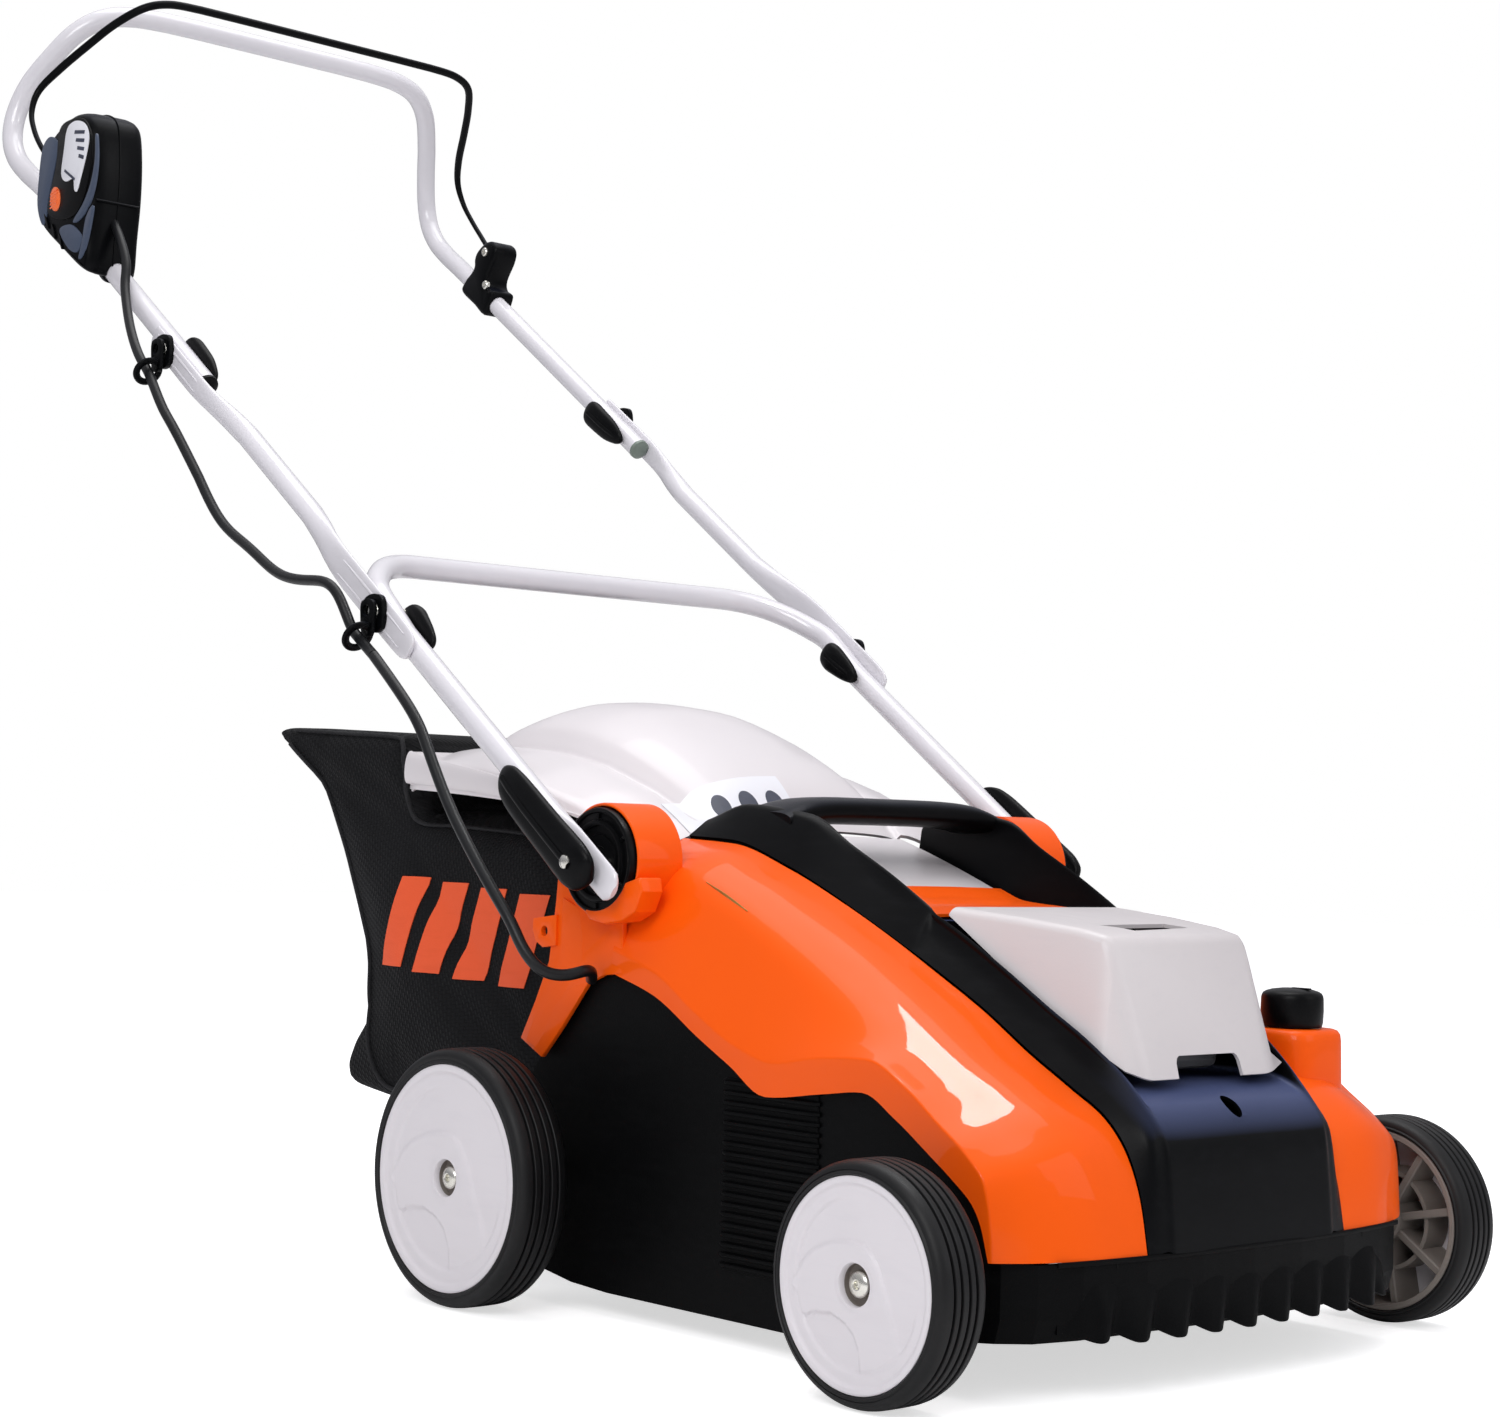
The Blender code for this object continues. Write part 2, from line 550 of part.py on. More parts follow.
# ---------------------------------------------------------------- inset panels
PANEL_HALF_X = 0.0880
RECESS = [(0.1300, 0.2810), (0.1600, 0.2840), (0.2060, 0.2875)]             # y, z
RECESS_LIFT, RECESS_CROWN = 0.0030, 0.0006
HOOD = [(0.2100, 0.2880), (0.2400, 0.3000), (0.2800, 0.3150), (0.3150, 0.3270),
        (0.3340, 0.3330)]                                                   # y, z

# Orange panel in the recess behind the battery cover.
rows = [[(x, y, z + RECESS_LIFT + RECESS_CROWN * (1 - (x / PANEL_HALF_X) ** 2))
         for x in (-PANEL_HALF_X, -0.05, 0.0, 0.05, PANEL_HALF_X)] for y, z in RECESS]
panel = add("recess_panel", outward_sheet(rows, (0, 0.15, 0.1)), "orange")
solidify(panel, PANEL_T)

# White hood panel under the carry handle, up to the flap.
rows = [[(x, y, z) for x in (-PANEL_HALF_X, -0.045, 0.0, 0.045, PANEL_HALF_X)] for y, z in HOOD]
hood = add("hood_panel", outward_sheet(rows, (0, 0.27, 0.1)), "white")
solidify(hood, PANEL_T)

# ---------------------------------------------------------------- battery
LID_STATIONS = [  # left half: upper corner (x, y, z), lower side edge (x, y, z)
    [(0.0620, -0.0475, 0.1875), (0.0800, -0.0400, 0.1985)],
    [(0.0700, -0.0190, 0.2750), (0.0830, -0.0200, 0.2110)],
    [(0.0735, 0.0080, 0.2800), (0.0850, 0.0100, 0.2250)],
    [(0.0800, 0.0550, 0.2850), (0.0870, 0.0550, 0.2530)],
    [(0.0865, 0.1120, 0.2895), (0.0890, 0.1120, 0.2840)],
]

rows = [relative(mirror_x(half[::-1]) + half, BATTERY_HINGE) for half in LID_STATIONS]
lid = add("battery_cover", outward_sheet(rows, (0, -0.05, -0.08)), "white", (0, *BATTERY_HINGE))
solidify(lid, COVER_T)
# Notch in the middle of the front edge.
boolean(lid, helper(box((-0.0340, -0.0700, 0.1700), (0.0340, -0.0250, 0.2010))), "DIFFERENCE")

pack = add("battery_pack", box((-0.0430, -0.0120, 0.1885), (0.0430, 0.0980, 0.2600)), "grey")
bevel(pack, 0.006, 2, 35)

# ---------------------------------------------------------------- motor, reel and drive
MOTOR_R, MOTOR_LEN, MOTOR_X = 0.040, 0.1300, 0.0700
REEL_PULLEY_R, MOTOR_PULLEY_R = 0.028, 0.012    # under the belt
REEL_PULLEY_HALF_W = 0.0050
REEL_TIP_R, REEL_SHAFT_R = 0.054, 0.009
REEL_SIDES = 16
REEL_START_X = -0.1940
TINE_PLATES, TINE_START_X, TINE_PITCH = 9, -0.1600, 0.0400
TINE_HALF_W = 0.0012            # half width of a tine's tip
BEARING_X = 0.1908
BELT_W, BELT_INNER, BELT_OUTER = 0.0060, 0.0009, 0.0026    # offsets from the pulley radii

motor = add("motor_body", cylinder(MOTOR_R, MOTOR_LEN, 28), "steel",
            (MOTOR_X, MOTOR_Y, MOTOR_Z), LEFT_TURN)
# Flanged pulley with its shaft.
motor_pulley_profile = [
    (0, 0.0300), (0.0040, 0.0300), (0.0040, 0.0070), (0.0145, 0.0070), (0.0145, 0.0050),
    (MOTOR_PULLEY_R, 0.0045), (MOTOR_PULLEY_R, -0.0045), (0.0145, -0.0050), (0.0145, -0.0070),
    (0.0040, -0.0070), (0.0040, -0.0430), (0, -0.0430),
]
pulley = add("motor_pulley", spin_mesh(motor_pulley_profile, 20), "steel",
             (BELT_X, MOTOR_Y, MOTOR_Z), LEFT_TURN)
drill(motor, 0.0045, 0.02, (0.1380, MOTOR_Y, MOTOR_Z), 16)
# Trim the outer end of the shaft clear of the housing wall.
shaft_trim = box((0.1880, MOTOR_Y - 0.02, MOTOR_Z - 0.02), (0.2200, MOTOR_Y + 0.02, MOTOR_Z + 0.02))
boolean(pulley, helper(shaft_trim), "DIFFERENCE")


def reel_ring(x, tines=()):
    """The shaft's section at x; each tine pulls two neighbouring points out to its tip."""
    points = [(x, y, z) for y, z in superellipse(REEL_SIDES, REEL_SHAFT_R, REEL_SHAFT_R)]
    for k in tines:
        angle = math.tau * (k + 0.5) / REEL_SIDES
        tip = Vector((x, REEL_TIP_R * math.cos(angle), REEL_TIP_R * math.sin(angle)))
        side = Vector((0, -math.sin(angle), math.cos(angle))) * TINE_HALF_W
        points[k] = tip - side
        points[(k + 1) % REEL_SIDES] = tip + side
    return points


def tine_reel():
    """A shaft with spring-tine plates, each turned on from the last."""
    rings = [reel_ring(REEL_START_X)]
    for n in range(TINE_PLATES):
        x = TINE_START_X + n * TINE_PITCH
        tines = ((n * 3) % REEL_SIDES, (n * 3 + REEL_SIDES // 2) % REEL_SIDES)
        rings += [reel_ring(x - 0.0012), reel_ring(x - 0.0010, tines),
                  reel_ring(x + 0.0010, tines), reel_ring(x + 0.0012)]
    rings.append(reel_ring(BELT_X - REEL_PULLEY_HALF_W - GAP))
    return loft(rings)


add("tine_reel", tine_reel(), "steel", (0, REEL_Y, REEL_Z))
reel_pulley_profile = [
    (0, 0.0135), (0.0090, 0.0135), (0.0090, REEL_PULLEY_HALF_W), (0.0305, REEL_PULLEY_HALF_W),
    (0.0305, 0.0042), (REEL_PULLEY_R, 0.0038), (REEL_PULLEY_R, -0.0038), (0.0305, -0.0042),
    (0.0305, -REEL_PULLEY_HALF_W), (0, -REEL_PULLEY_HALF_W),
]
add("reel_pulley", spin_mesh(reel_pulley_profile, 28), "steel", (BELT_X, REEL_Y, REEL_Z), LEFT_TURN)
for tag, sign, _ in SIDES:
    bearing = spin_mesh([(0.0160, 0.0030), (0.0160, -0.0030), (0.0092, -0.0030), (0.0092, 0.0030)],
                        20, closed=True)
    add(f"reel_bearing_{tag}", bearing, "steel", (sign * BEARING_X, REEL_Y, REEL_Z), LEFT_TURN)


def belt_loop(offset):
    """Open-belt outline round both pulleys, in the (Y, Z) plane."""
    motor_r, reel_r = MOTOR_PULLEY_R + offset, REEL_PULLEY_R + offset
    dy, dz = MOTOR_Y - REEL_Y, MOTOR_Z - REEL_Z
    base = math.atan2(dz, dy)
    lean = math.acos((reel_r - motor_r) / math.hypot(dy, dz))
    points = []
    for y, z, radius, start, sweep, steps in (
            (MOTOR_Y, MOTOR_Z, motor_r, base - lean, 2 * lean, 8),
            (REEL_Y, REEL_Z, reel_r, base + lean, math.tau - 2 * lean, 14)):
        for k in range(steps + 1):
            angle = start + sweep * k / steps
            points.append((y + radius * math.cos(angle), z + radius * math.sin(angle)))
    return points


belt = outline(belt_loop(BELT_OUTER), BELT_W, holes=(belt_loop(BELT_INNER),))
add("drive_belt", belt, "rubber", (BELT_X, 0, 0), PROFILE_TURN)

# ---------------------------------------------------------------- depth knob
knob = spin_mesh([(0, 0.0275), (0.0120, 0.0270), (0.0185, 0.0250), (0.0210, 0.0215),
                  (0.0218, 0.0), (0, 0.0)], 28)
add("depth_knob", knob, "black", (KNOB_X, KNOB_Y, TURRET_Z + TURRET_H / 2 + GAP))

# ---------------------------------------------------------------- discharge flap
FLAP = [  # y, crown z, half width, shoulder z, edge z
    (0.3420, 0.3380, 0.1500, 0.3330, 0.3270), (0.3700, 0.3720, 0.1680, 0.3560, 0.3370),
    (0.4100, 0.3990, 0.1800, 0.3760, 0.3470), (0.4500, 0.4180, 0.1860, 0.3880, 0.3520),
    (0.4950, 0.4330, 0.1900, 0.3960, 0.3560), (0.5400, 0.4370, 0.1910, 0.4000, 0.3590),
    (0.5800, 0.4270, 0.1890, 0.3960, 0.3610), (0.6020, 0.4100, 0.1820, 0.3880, 0.3620),
    (0.6100, 0.3760, 0.1740, 0.3740, 0.3630),
]


def flap_row(y, crown, half_w, shoulder, edge):
    drop = crown - shoulder
    half = [(0.0, y, crown), (0.45 * half_w, y, crown - 0.10 * drop),
            (0.72 * half_w, y, crown - 0.55 * drop), (0.92 * half_w, y, shoulder),
            (half_w, y, (shoulder + edge) / 2), (half_w + 0.001, y, edge)]
    return relative(mirror_x(half[:0:-1]) + half, FLAP_HINGE)


flap = add("discharge_flap", outward_sheet([flap_row(*station) for station in FLAP],
                                           (0, 0.13, -0.1)), "white", (0, *FLAP_HINGE))
solidify(flap, COVER_T)

# ---------------------------------------------------------------- catcher bag
BAG = [  # y, bottom z, top z, half width
    (0.4340, 0.1200, 0.3240, 0.1600), (0.4800, 0.1120, 0.3330, 0.1680),
    (0.5600, 0.1120, 0.3380, 0.1750), (0.6160, 0.1140, 0.3420, 0.1790),
    (0.6260, 0.1150, 0.4080, 0.1800), (0.6560, 0.1200, 0.4100, 0.1810),
    (0.6720, 0.2250, 0.4110, 0.1820), (0.7080, 0.3000, 0.4120, 0.1830),
    (0.7400, 0.3620, 0.4130, 0.1840), (0.7980, 0.4040, 0.4140, 0.1850),
]
BAG_CORNER = 0.016
FRAME_Y, FRAME_T = 0.4292, 0.0080


def bag_ring(y, low, high, half_w):
    """A rectangle with its corners rounded by three points each."""
    middle, half_h = (low + high) / 2, (high - low) / 2
    corner = min(BAG_CORNER, half_h * 0.6)
    ring = []
    for sx, sz in ((-1, -1), (1, -1), (1, 1), (-1, 1)):
        points = [(sx * (half_w - inset_x), y, middle + sz * (half_h - inset_z))
                  for inset_x, inset_z in ((0, corner), (0.3 * corner, 0.3 * corner), (corner, 0))]
        # Every other corner runs the other way, to keep going round.
        ring += points[::-1] if sx * sz < 0 else points
    return ring


def rectangle(half_x, low, high):
    return [(-half_x, low), (half_x, low), (half_x, high), (-half_x, high)]


add("catcher_bag", loft([bag_ring(*station) for station in BAG]), "fabric")
frame = outline(rectangle(0.1660, 0.1160, 0.3200), FRAME_T,
                holes=(rectangle(0.1560, 0.1260, 0.3110),))
add("bag_frame", frame, "black", (0, FRAME_Y, 0), (math.pi / 2, 0, 0))

# ---------------------------------------------------------------- handle tubes
DETENT_X = 0.2140
BOLT_R = 0.0034
BOLT_HOLE_R, HOLE_DEPTH = 0.0037, 0.06
LOWER_BEND = [  # x, y, z: from the end of the left leg to the cross tube
    leg_point(LOWER_JOINT, 0.008, LEG_X), (0.2330, 0.5770, 0.5065), (0.2270, 0.5910, 0.5150),
    (0.2160, 0.6060, 0.5240), (0.1990, 0.6220, 0.5325), (0.1750, 0.6350, 0.5375),
    (0.1450, 0.6400, 0.5385),
]
UPPER_BEND = [  # x, y, z: from the left leg up and round to the grip
    (LEG_X, 1.1180, 0.8937), (0.2355, 1.1440, 0.9110), (0.2375, 1.1690, 0.9270),
    (0.2385, 1.1900, 0.9440), (0.2375, 1.2025, 0.9640), (0.2340, 1.2045, 0.9880),
    (0.2265, 1.1960, 1.0150), (0.2150, 1.1800, 1.0390), (0.1990, 1.1620, 1.0640),
    (0.1780, 1.1500, 1.0800), (0.1500, 1.1440, 1.0870), (0.1150, 1.1420, 1.0890),
]
PLATE_HALF_T = 0.0020           # the pressed-flat ends of the middle tubes
PLATE_X = TUBE_R + 0.0005 + PLATE_HALF_T
MID_STATIONS = [
    # distance from the lower joint, outward offset, half thickness, half width, squareness power
    (-0.053, PLATE_X, PLATE_HALF_T, 0.0060, 0.7), (-0.047, PLATE_X, PLATE_HALF_T, 0.0105, 0.7),
    (-0.030, PLATE_X, PLATE_HALF_T, 0.0125, 0.6), (0.040, PLATE_X, PLATE_HALF_T, 0.0130, 0.6),
    (0.066, PLATE_X, 0.0024, 0.0125, 0.7), (0.080, PLATE_X * 0.70, 0.0045, 0.0115, 0.9),
    (0.096, PLATE_X * 0.20, 0.0080, 0.0100, 1.0), (0.112, 0.0, TUBE_R, TUBE_R, 1.0),
    (MID_LEN - 0.112, 0.0, TUBE_R, TUBE_R, 1.0),
    (MID_LEN - 0.098, PLATE_X * 0.20, 0.0080, 0.0100, 1.0),
    (MID_LEN - 0.083, PLATE_X * 0.70, 0.0045, 0.0115, 0.9),
    (MID_LEN - 0.070, PLATE_X, 0.0024, 0.0125, 0.7),
    (MID_LEN - 0.040, PLATE_X, PLATE_HALF_T, 0.0130, 0.6),
    (MID_LEN + 0.008, PLATE_X, PLATE_HALF_T, 0.0125, 0.6),
    (MID_LEN + 0.022, PLATE_X, PLATE_HALF_T, 0.0105, 0.7),
    (MID_LEN + 0.028, PLATE_X, PLATE_HALF_T, 0.0060, 0.7),
]

tilt_axis = pivot("handle_tilt_axis", TILT_PIVOT)
for tag, sign, turn in SIDES:
    disc = spin_mesh([(0, 0.0090), (0.0350, 0.0090), (0.0367, 0.0075), (0.0367, -0.0090),
                      (0, -0.0090)], 28)
    obj = add(f"detent_disc_{tag}", disc, "black", (sign * DETENT_X, *DETENT_CENTRE), turn)
    drill(obj, 0.0040, HOLE_DEPTH, (sign * DETENT_X, *TILT_PIVOT), turn=turn)

# Lower bar: two legs and a raised cross tube.
lower_path = both_sides([leg_point(TILT_PIVOT, s, LEG_X) for s in (-0.034, 0.10, 0.22)]
                        + smooth_path(LOWER_BEND, 2) + [(0.0, 0.6400, 0.5385)])
lower_bar = add("lower_bar", tube(relative(lower_path, TILT_PIVOT), TUBE_R), "tube_white",
                parent=tilt_axis)
for sign in (-1, 1):
    for axis in (TILT_PIVOT, LOWER_JOINT):
        drill(lower_bar, BOLT_HOLE_R, HOLE_DEPTH, (sign * LEG_X, *axis))

# Middle tubes: round in the middle, pressed flat and offset outwards at both ends.
for tag, sign, _ in SIDES:
    rings = [[(sign * (offset + dx), s, dw) for dx, dw in superellipse(12, half_t, half_w, power)]
             for s, offset, half_t, half_w, power in MID_STATIONS]
    obj = add(f"middle_tube_{tag}", loft(rings), "tube_white", (sign * LEG_X, *LOWER_JOINT),
              LEG_TURN)
    for axis in (LOWER_JOINT, UPPER_JOINT):
        drill(obj, BOLT_HOLE_R, HOLE_DEPTH, (sign * LEG_X, *axis))

# Upper bar: a U that bends up from the legs to the grip.
fold_axis = pivot("upper_fold_axis", UPPER_JOINT)
upper_path = both_sides([leg_point(UPPER_JOINT, -0.058, LEG_X)] + smooth_path(UPPER_BEND, 2)
                        + [(0.0, 1.1420, 1.0895)])
upper_bar = add("upper_bar", tube(relative(upper_path, UPPER_JOINT), TUBE_R), "tube_white",
                parent=fold_axis)
for sign in (-1, 1):
    drill(upper_bar, BOLT_HOLE_R, HOLE_DEPTH, (sign * LEG_X, *UPPER_JOINT))

# ---------------------------------------------------------------- joint bolts and levers
JOINT_HEAD_R = 0.0075
PLATE_OUT = PLATE_X + PLATE_HALF_T          # outer face of the flat ends, from the leg's centre
BOLT_INNER_END = TUBE_R + 0.0045
CLAMP_X = LEG_X - (TUBE_R + 0.0009)         # flat side of the clamp levers
CLAMP_LEN, CLAMP_W, CLAMP_T = 0.044, 0.024, 0.013
PIVOT_LEVER_X = LEG_X + TUBE_R + 0.0008     # inner side of the pivot levers
PIVOT_LEVER = [  # distance up the leg, half width, thickness
    (-0.020, 0.007, 0.006), (-0.014, 0.014, 0.010), (0.0, 0.017, 0.012), (0.030, 0.016, 0.012),
    (0.075, 0.015, 0.011), (0.098, 0.012, 0.008), (0.106, 0.006, 0.005),
]

# Through bolts with their heads outside the plates.
for tag, sign, turn in SIDES:
    for level, axis in (("lower", LOWER_JOINT), ("upper", UPPER_JOINT)):
        rod = spin_mesh([(0, PLATE_OUT + 0.0045), (JOINT_HEAD_R * 0.8, PLATE_OUT + 0.0045),
                         (JOINT_HEAD_R, PLATE_OUT + 0.0030), (JOINT_HEAD_R, PLATE_OUT + GAP),
                         (BOLT_R, PLATE_OUT + GAP), (BOLT_R, -BOLT_INNER_END),
                         (0, -BOLT_INNER_END)], 12)
        add(f"{level}_joint_bolt_{tag}", rod, "steel", (sign * LEG_X, *axis), turn)


def clamp_lever(top):
    """A half teardrop along local Y, flat side near local x = 0, thick towards local +x."""
    rings = []
    for y, w, d in (  # y, width factor, thickness factor
            (top, 0.50, 0.55), (top - 0.005, 0.85, 0.85), (top - 0.014, 1.0, 1.0),
            (-0.45 * CLAMP_LEN, 0.92, 0.85), (-0.75 * CLAMP_LEN, 0.70, 0.62),
            (-0.95 * CLAMP_LEN, 0.42, 0.40), (-CLAMP_LEN, 0.18, 0.22)):
        x_mid = CLAMP_T / 2 - (1 - d) * CLAMP_T * 0.3
        rings.append([(x_mid + dx, y, dz)
                      for dx, dz in superellipse(10, d * CLAMP_T / 2, w * CLAMP_W / 2)])
    return loft(rings)


# Quick-release levers on the inner side of each joint, thick side towards the machine's middle.
for tag, sign, _ in SIDES:
    for level, axis, top in (("lower", LOWER_JOINT, 0.003), ("upper", UPPER_JOINT, 0.018)):
        mesh = clamp_lever(top)
        if sign > 0:
            mesh = mirrored_mesh(mesh)
        where = (sign * CLAMP_X, *axis)
        obj = add(f"{level}_clamp_lever_{tag}", mesh, "black", where, LEG_TURN)
        # Pocket for the end of the bolt.
        drill(obj, 0.0060, 0.0170, where)

# Pivot levers: long levers outside the legs at the tilt pivot.
for tag, sign, _ in SIDES:
    rings = [[(sign * (thick / 2 + dx), s, dw)
              for dx, dw in superellipse(12, thick / 2, half_w, 0.7)]
             for s, half_w, thick in PIVOT_LEVER]
    where = (sign * PIVOT_LEVER_X, *TILT_PIVOT)
    obj = add(f"pivot_lever_{tag}", loft(rings), "black", where, LEG_TURN)
    drill(obj, 0.0050, 0.0120, where)
    add(f"pivot_bolt_{tag}", cylinder(BOLT_R, 0.0440, 12), "steel",
        (sign * 0.2265, *TILT_PIVOT), LEFT_TURN)

# ---------------------------------------------------------------- switch box, bail, pivot box
SWITCH_X, SWITCH_W = -0.2400, 0.0490
SWITCH = [  # y, z
    (1.0950, 0.9250), (1.0700, 0.9420), (1.0400, 0.9530), (1.0150, 0.9520), (0.9980, 0.9400),
    (0.9920, 0.9100), (0.9920, 0.8750), (1.0000, 0.8350), (0.9990, 0.8130), (1.0100, 0.8090),
    (1.0500, 0.8330), (1.0880, 0.8590), (1.1000, 0.8830), (1.0980, 0.9080),
]
PIVOT_BOX_X, PIVOT_BOX_W = 0.2365, 0.0300
PIVOT_BOX_AT = (1.1000, 0.8808)     # y, z from which the outline below is measured
PIVOT_BOX = [  # distance along the leg, distance across it
    (-0.0330, -0.0125), (0.0180, -0.0125), (0.0180, 0.0060), (0.0110, 0.0160), (0.0180, 0.0240),
    (0.0190, 0.0330), (0.0120, 0.0480), (0.0020, 0.0530), (-0.0080, 0.0520), (-0.0125, 0.0420),
    (-0.0130, 0.0180), (-0.0200, 0.0125), (-0.0300, 0.0125),
]
BAIL_R = 0.00325
BAIL_BEND = [  # x, y, z: from the left end up and round to the straight part
    (0.2450, 1.1015, 0.9205), (0.2480, 1.1224, 0.9400), (0.2475, 1.1402, 0.9600),
    (0.2444, 1.1526, 0.9800), (0.2375, 1.1540, 1.0010), (0.2262, 1.1376, 1.0200),
    (0.2127, 1.1109, 1.0400), (0.1990, 1.0860, 1.0580), (0.1820, 1.0640, 1.0720),
    (0.1600, 1.0560, 1.0785), (0.1300, 1.0545, 1.0800),
]
BUTTON_AXIS = (1.0577, 0.8801)      # y, z

switch = add("switch_box", outline(SWITCH, SWITCH_W), "black", (SWITCH_X, 0, 0), PROFILE_TURN)
bevel(switch, 0.006, 2, 50)
# One channel along the upper bar serves both boxes.
channel = helper(tube(upper_path, TUBE_R + 0.0006))
boolean(switch, channel, "DIFFERENCE")

box_outline = [(PIVOT_BOX_AT[0] + ALONG.y * s + ACROSS.y * w,
                PIVOT_BOX_AT[1] + ALONG.z * s + ACROSS.z * w) for s, w in PIVOT_BOX]
pivot_box = add("pivot_box", outline(box_outline, PIVOT_BOX_W), "black", (PIVOT_BOX_X, 0, 0),
                PROFILE_TURN)
bevel(pivot_box, 0.0022, 1, 40)
boolean(pivot_box, channel, "DIFFERENCE")

bail_axis = pivot("bail_axis", BAIL_PIVOT)
bail_path = both_sides(smooth_path(BAIL_BEND, 2) + [(0.0, 1.0540, 1.0800)])
add("switch_bail", tube(relative(bail_path, BAIL_PIVOT), BAIL_R), "black", parent=bail_axis)

# Safety button in a round recess in the outer side of the switch box.
drill(switch, 0.0125, 0.0200, (-0.2620, *BUTTON_AXIS), 20, RIGHT_TURN)
button = spin_mesh([(0, 0.0100), (0.0095, 0.0095), (0.0115, 0.0080), (0.0115, 0.0), (0, 0.0)], 20)
add("safety_button", button, "orange", (-0.2575, *BUTTON_AXIS), RIGHT_TURN)

# ---------------------------------------------------------------- cable and clips
CABLE_R = 0.0038
CLIP_X, CLIP_DROP = -0.2640, 0.0200         # clip centre, and its drop below the joint axis
CLIP_RING_R, CLIP_WIRE_R = 0.0100, 0.0024
CABLES = {  # x, y, z from the top down
    "upper": [
        (-0.2440, 0.9660, 0.8142), (-0.2480, 0.9609, 0.7954), (-0.2530, 0.9468, 0.7728),
        (-0.2590, 0.9273, 0.7480), (-0.2640, 0.9031, 0.7231),
        (CLIP_X, UPPER_JOINT[0] + 0.006, UPPER_JOINT[1] - 0.0180),
    ],
    "middle": [
        (-0.2670, 0.8545, 0.6730), (-0.2668, 0.8392, 0.6582), (-0.2660, 0.8251, 0.6430),
        (-0.2650, 0.7961, 0.6111), (-0.2640, 0.7611, 0.5722), (-0.2650, 0.7143, 0.5491),
        (-0.2680, 0.6687, 0.5259), (-0.2690, 0.6298, 0.5184), (-0.2680, 0.5898, 0.5142),
        (CLIP_X, LOWER_JOINT[0] + 0.006, LOWER_JOINT[1] - 0.0195),
    ],
    "lower": [
        (CLIP_X, LOWER_JOINT[0] - 0.006, LOWER_JOINT[1] - 0.0215),
        (-0.2690, 0.5305, 0.4579), (-0.2730, 0.4951, 0.4341), (-0.2740, 0.4646, 0.4082),
        (-0.2745, 0.4465, 0.3824), (-0.2745, 0.4229, 0.3485), (-0.2745, 0.3951, 0.3175),
        (-0.2740, 0.3688, 0.2906), (-0.2720, 0.3499, 0.2701), (-0.2690, 0.3382, 0.2509),
        (-0.2600, 0.3281, 0.2370), (-0.2440, 0.3209, 0.2345), (-0.2290, 0.3158, 0.2387),
        (-0.2150, 0.3310, 0.2310),
    ],
}

# Each clip is a ring round the cable with a tab up to the joint.
for level, (y, z) in (("lower", LOWER_JOINT), ("upper", UPPER_JOINT)):
    centre = Vector((CLIP_X, y, z - CLIP_DROP))
    ring = [centre + Vector((dx, 0, 0)) + ACROSS * dw
            for dx, dw in superellipse(12, CLIP_RING_R, CLIP_RING_R)]
    clip = add(f"cable_clip_{level}", tube(ring, CLIP_WIRE_R, cyclic=True), "black")
    tab = box((-0.2565, y - 0.0080, z - 0.0190), (-0.2528, y + 0.0060, z + 0.0060))
    boolean(clip, helper(tab), "UNION")

for level, points in CABLES.items():
    add(f"cable_{level}", tube(smooth_path(points, 3), CABLE_R), "black")

bpy.context.view_layer.update()
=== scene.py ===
"""A walk-behind battery lawn machine with a tine reel, a catcher bag and a folding handle.

Lengths are in metres and +Z is up. Pieces are modelled in the machine's own frame: the front
axle is at y = 0, the nose points to -Y, the bag and handle to +Y, and the right side is -X.
piece() shifts each of them along Y into the world.
"""
import math

import bmesh
import bpy
import numpy as np
from mathutils import Matrix, Vector, noise
from mathutils.bvhtree import BVHTree


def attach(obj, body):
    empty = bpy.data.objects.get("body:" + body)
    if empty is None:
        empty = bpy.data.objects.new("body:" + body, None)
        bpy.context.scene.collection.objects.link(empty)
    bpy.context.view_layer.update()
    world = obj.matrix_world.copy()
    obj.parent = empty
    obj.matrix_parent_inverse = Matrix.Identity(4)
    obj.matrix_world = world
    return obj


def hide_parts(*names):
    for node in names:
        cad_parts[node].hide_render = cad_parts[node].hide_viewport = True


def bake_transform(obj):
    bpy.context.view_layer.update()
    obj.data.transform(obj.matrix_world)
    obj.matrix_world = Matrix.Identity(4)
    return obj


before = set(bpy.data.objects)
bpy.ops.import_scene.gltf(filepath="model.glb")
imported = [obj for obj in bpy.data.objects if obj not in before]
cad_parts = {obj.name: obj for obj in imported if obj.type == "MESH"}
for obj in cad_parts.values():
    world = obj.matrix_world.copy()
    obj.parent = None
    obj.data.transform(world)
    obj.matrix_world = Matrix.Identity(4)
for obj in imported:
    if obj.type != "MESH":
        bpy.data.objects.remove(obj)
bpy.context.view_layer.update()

ORIGIN_Y = -0.56801                      # world Y of the front axle
TO_WORLD = Vector((0, ORIGIN_Y, 0))
EYE_PLACE = (-1.4044, -1.1477, 0.3352)   # the camera, in the machine's frame
EYE = Vector(EYE_PLACE)

# ================================================================ materials


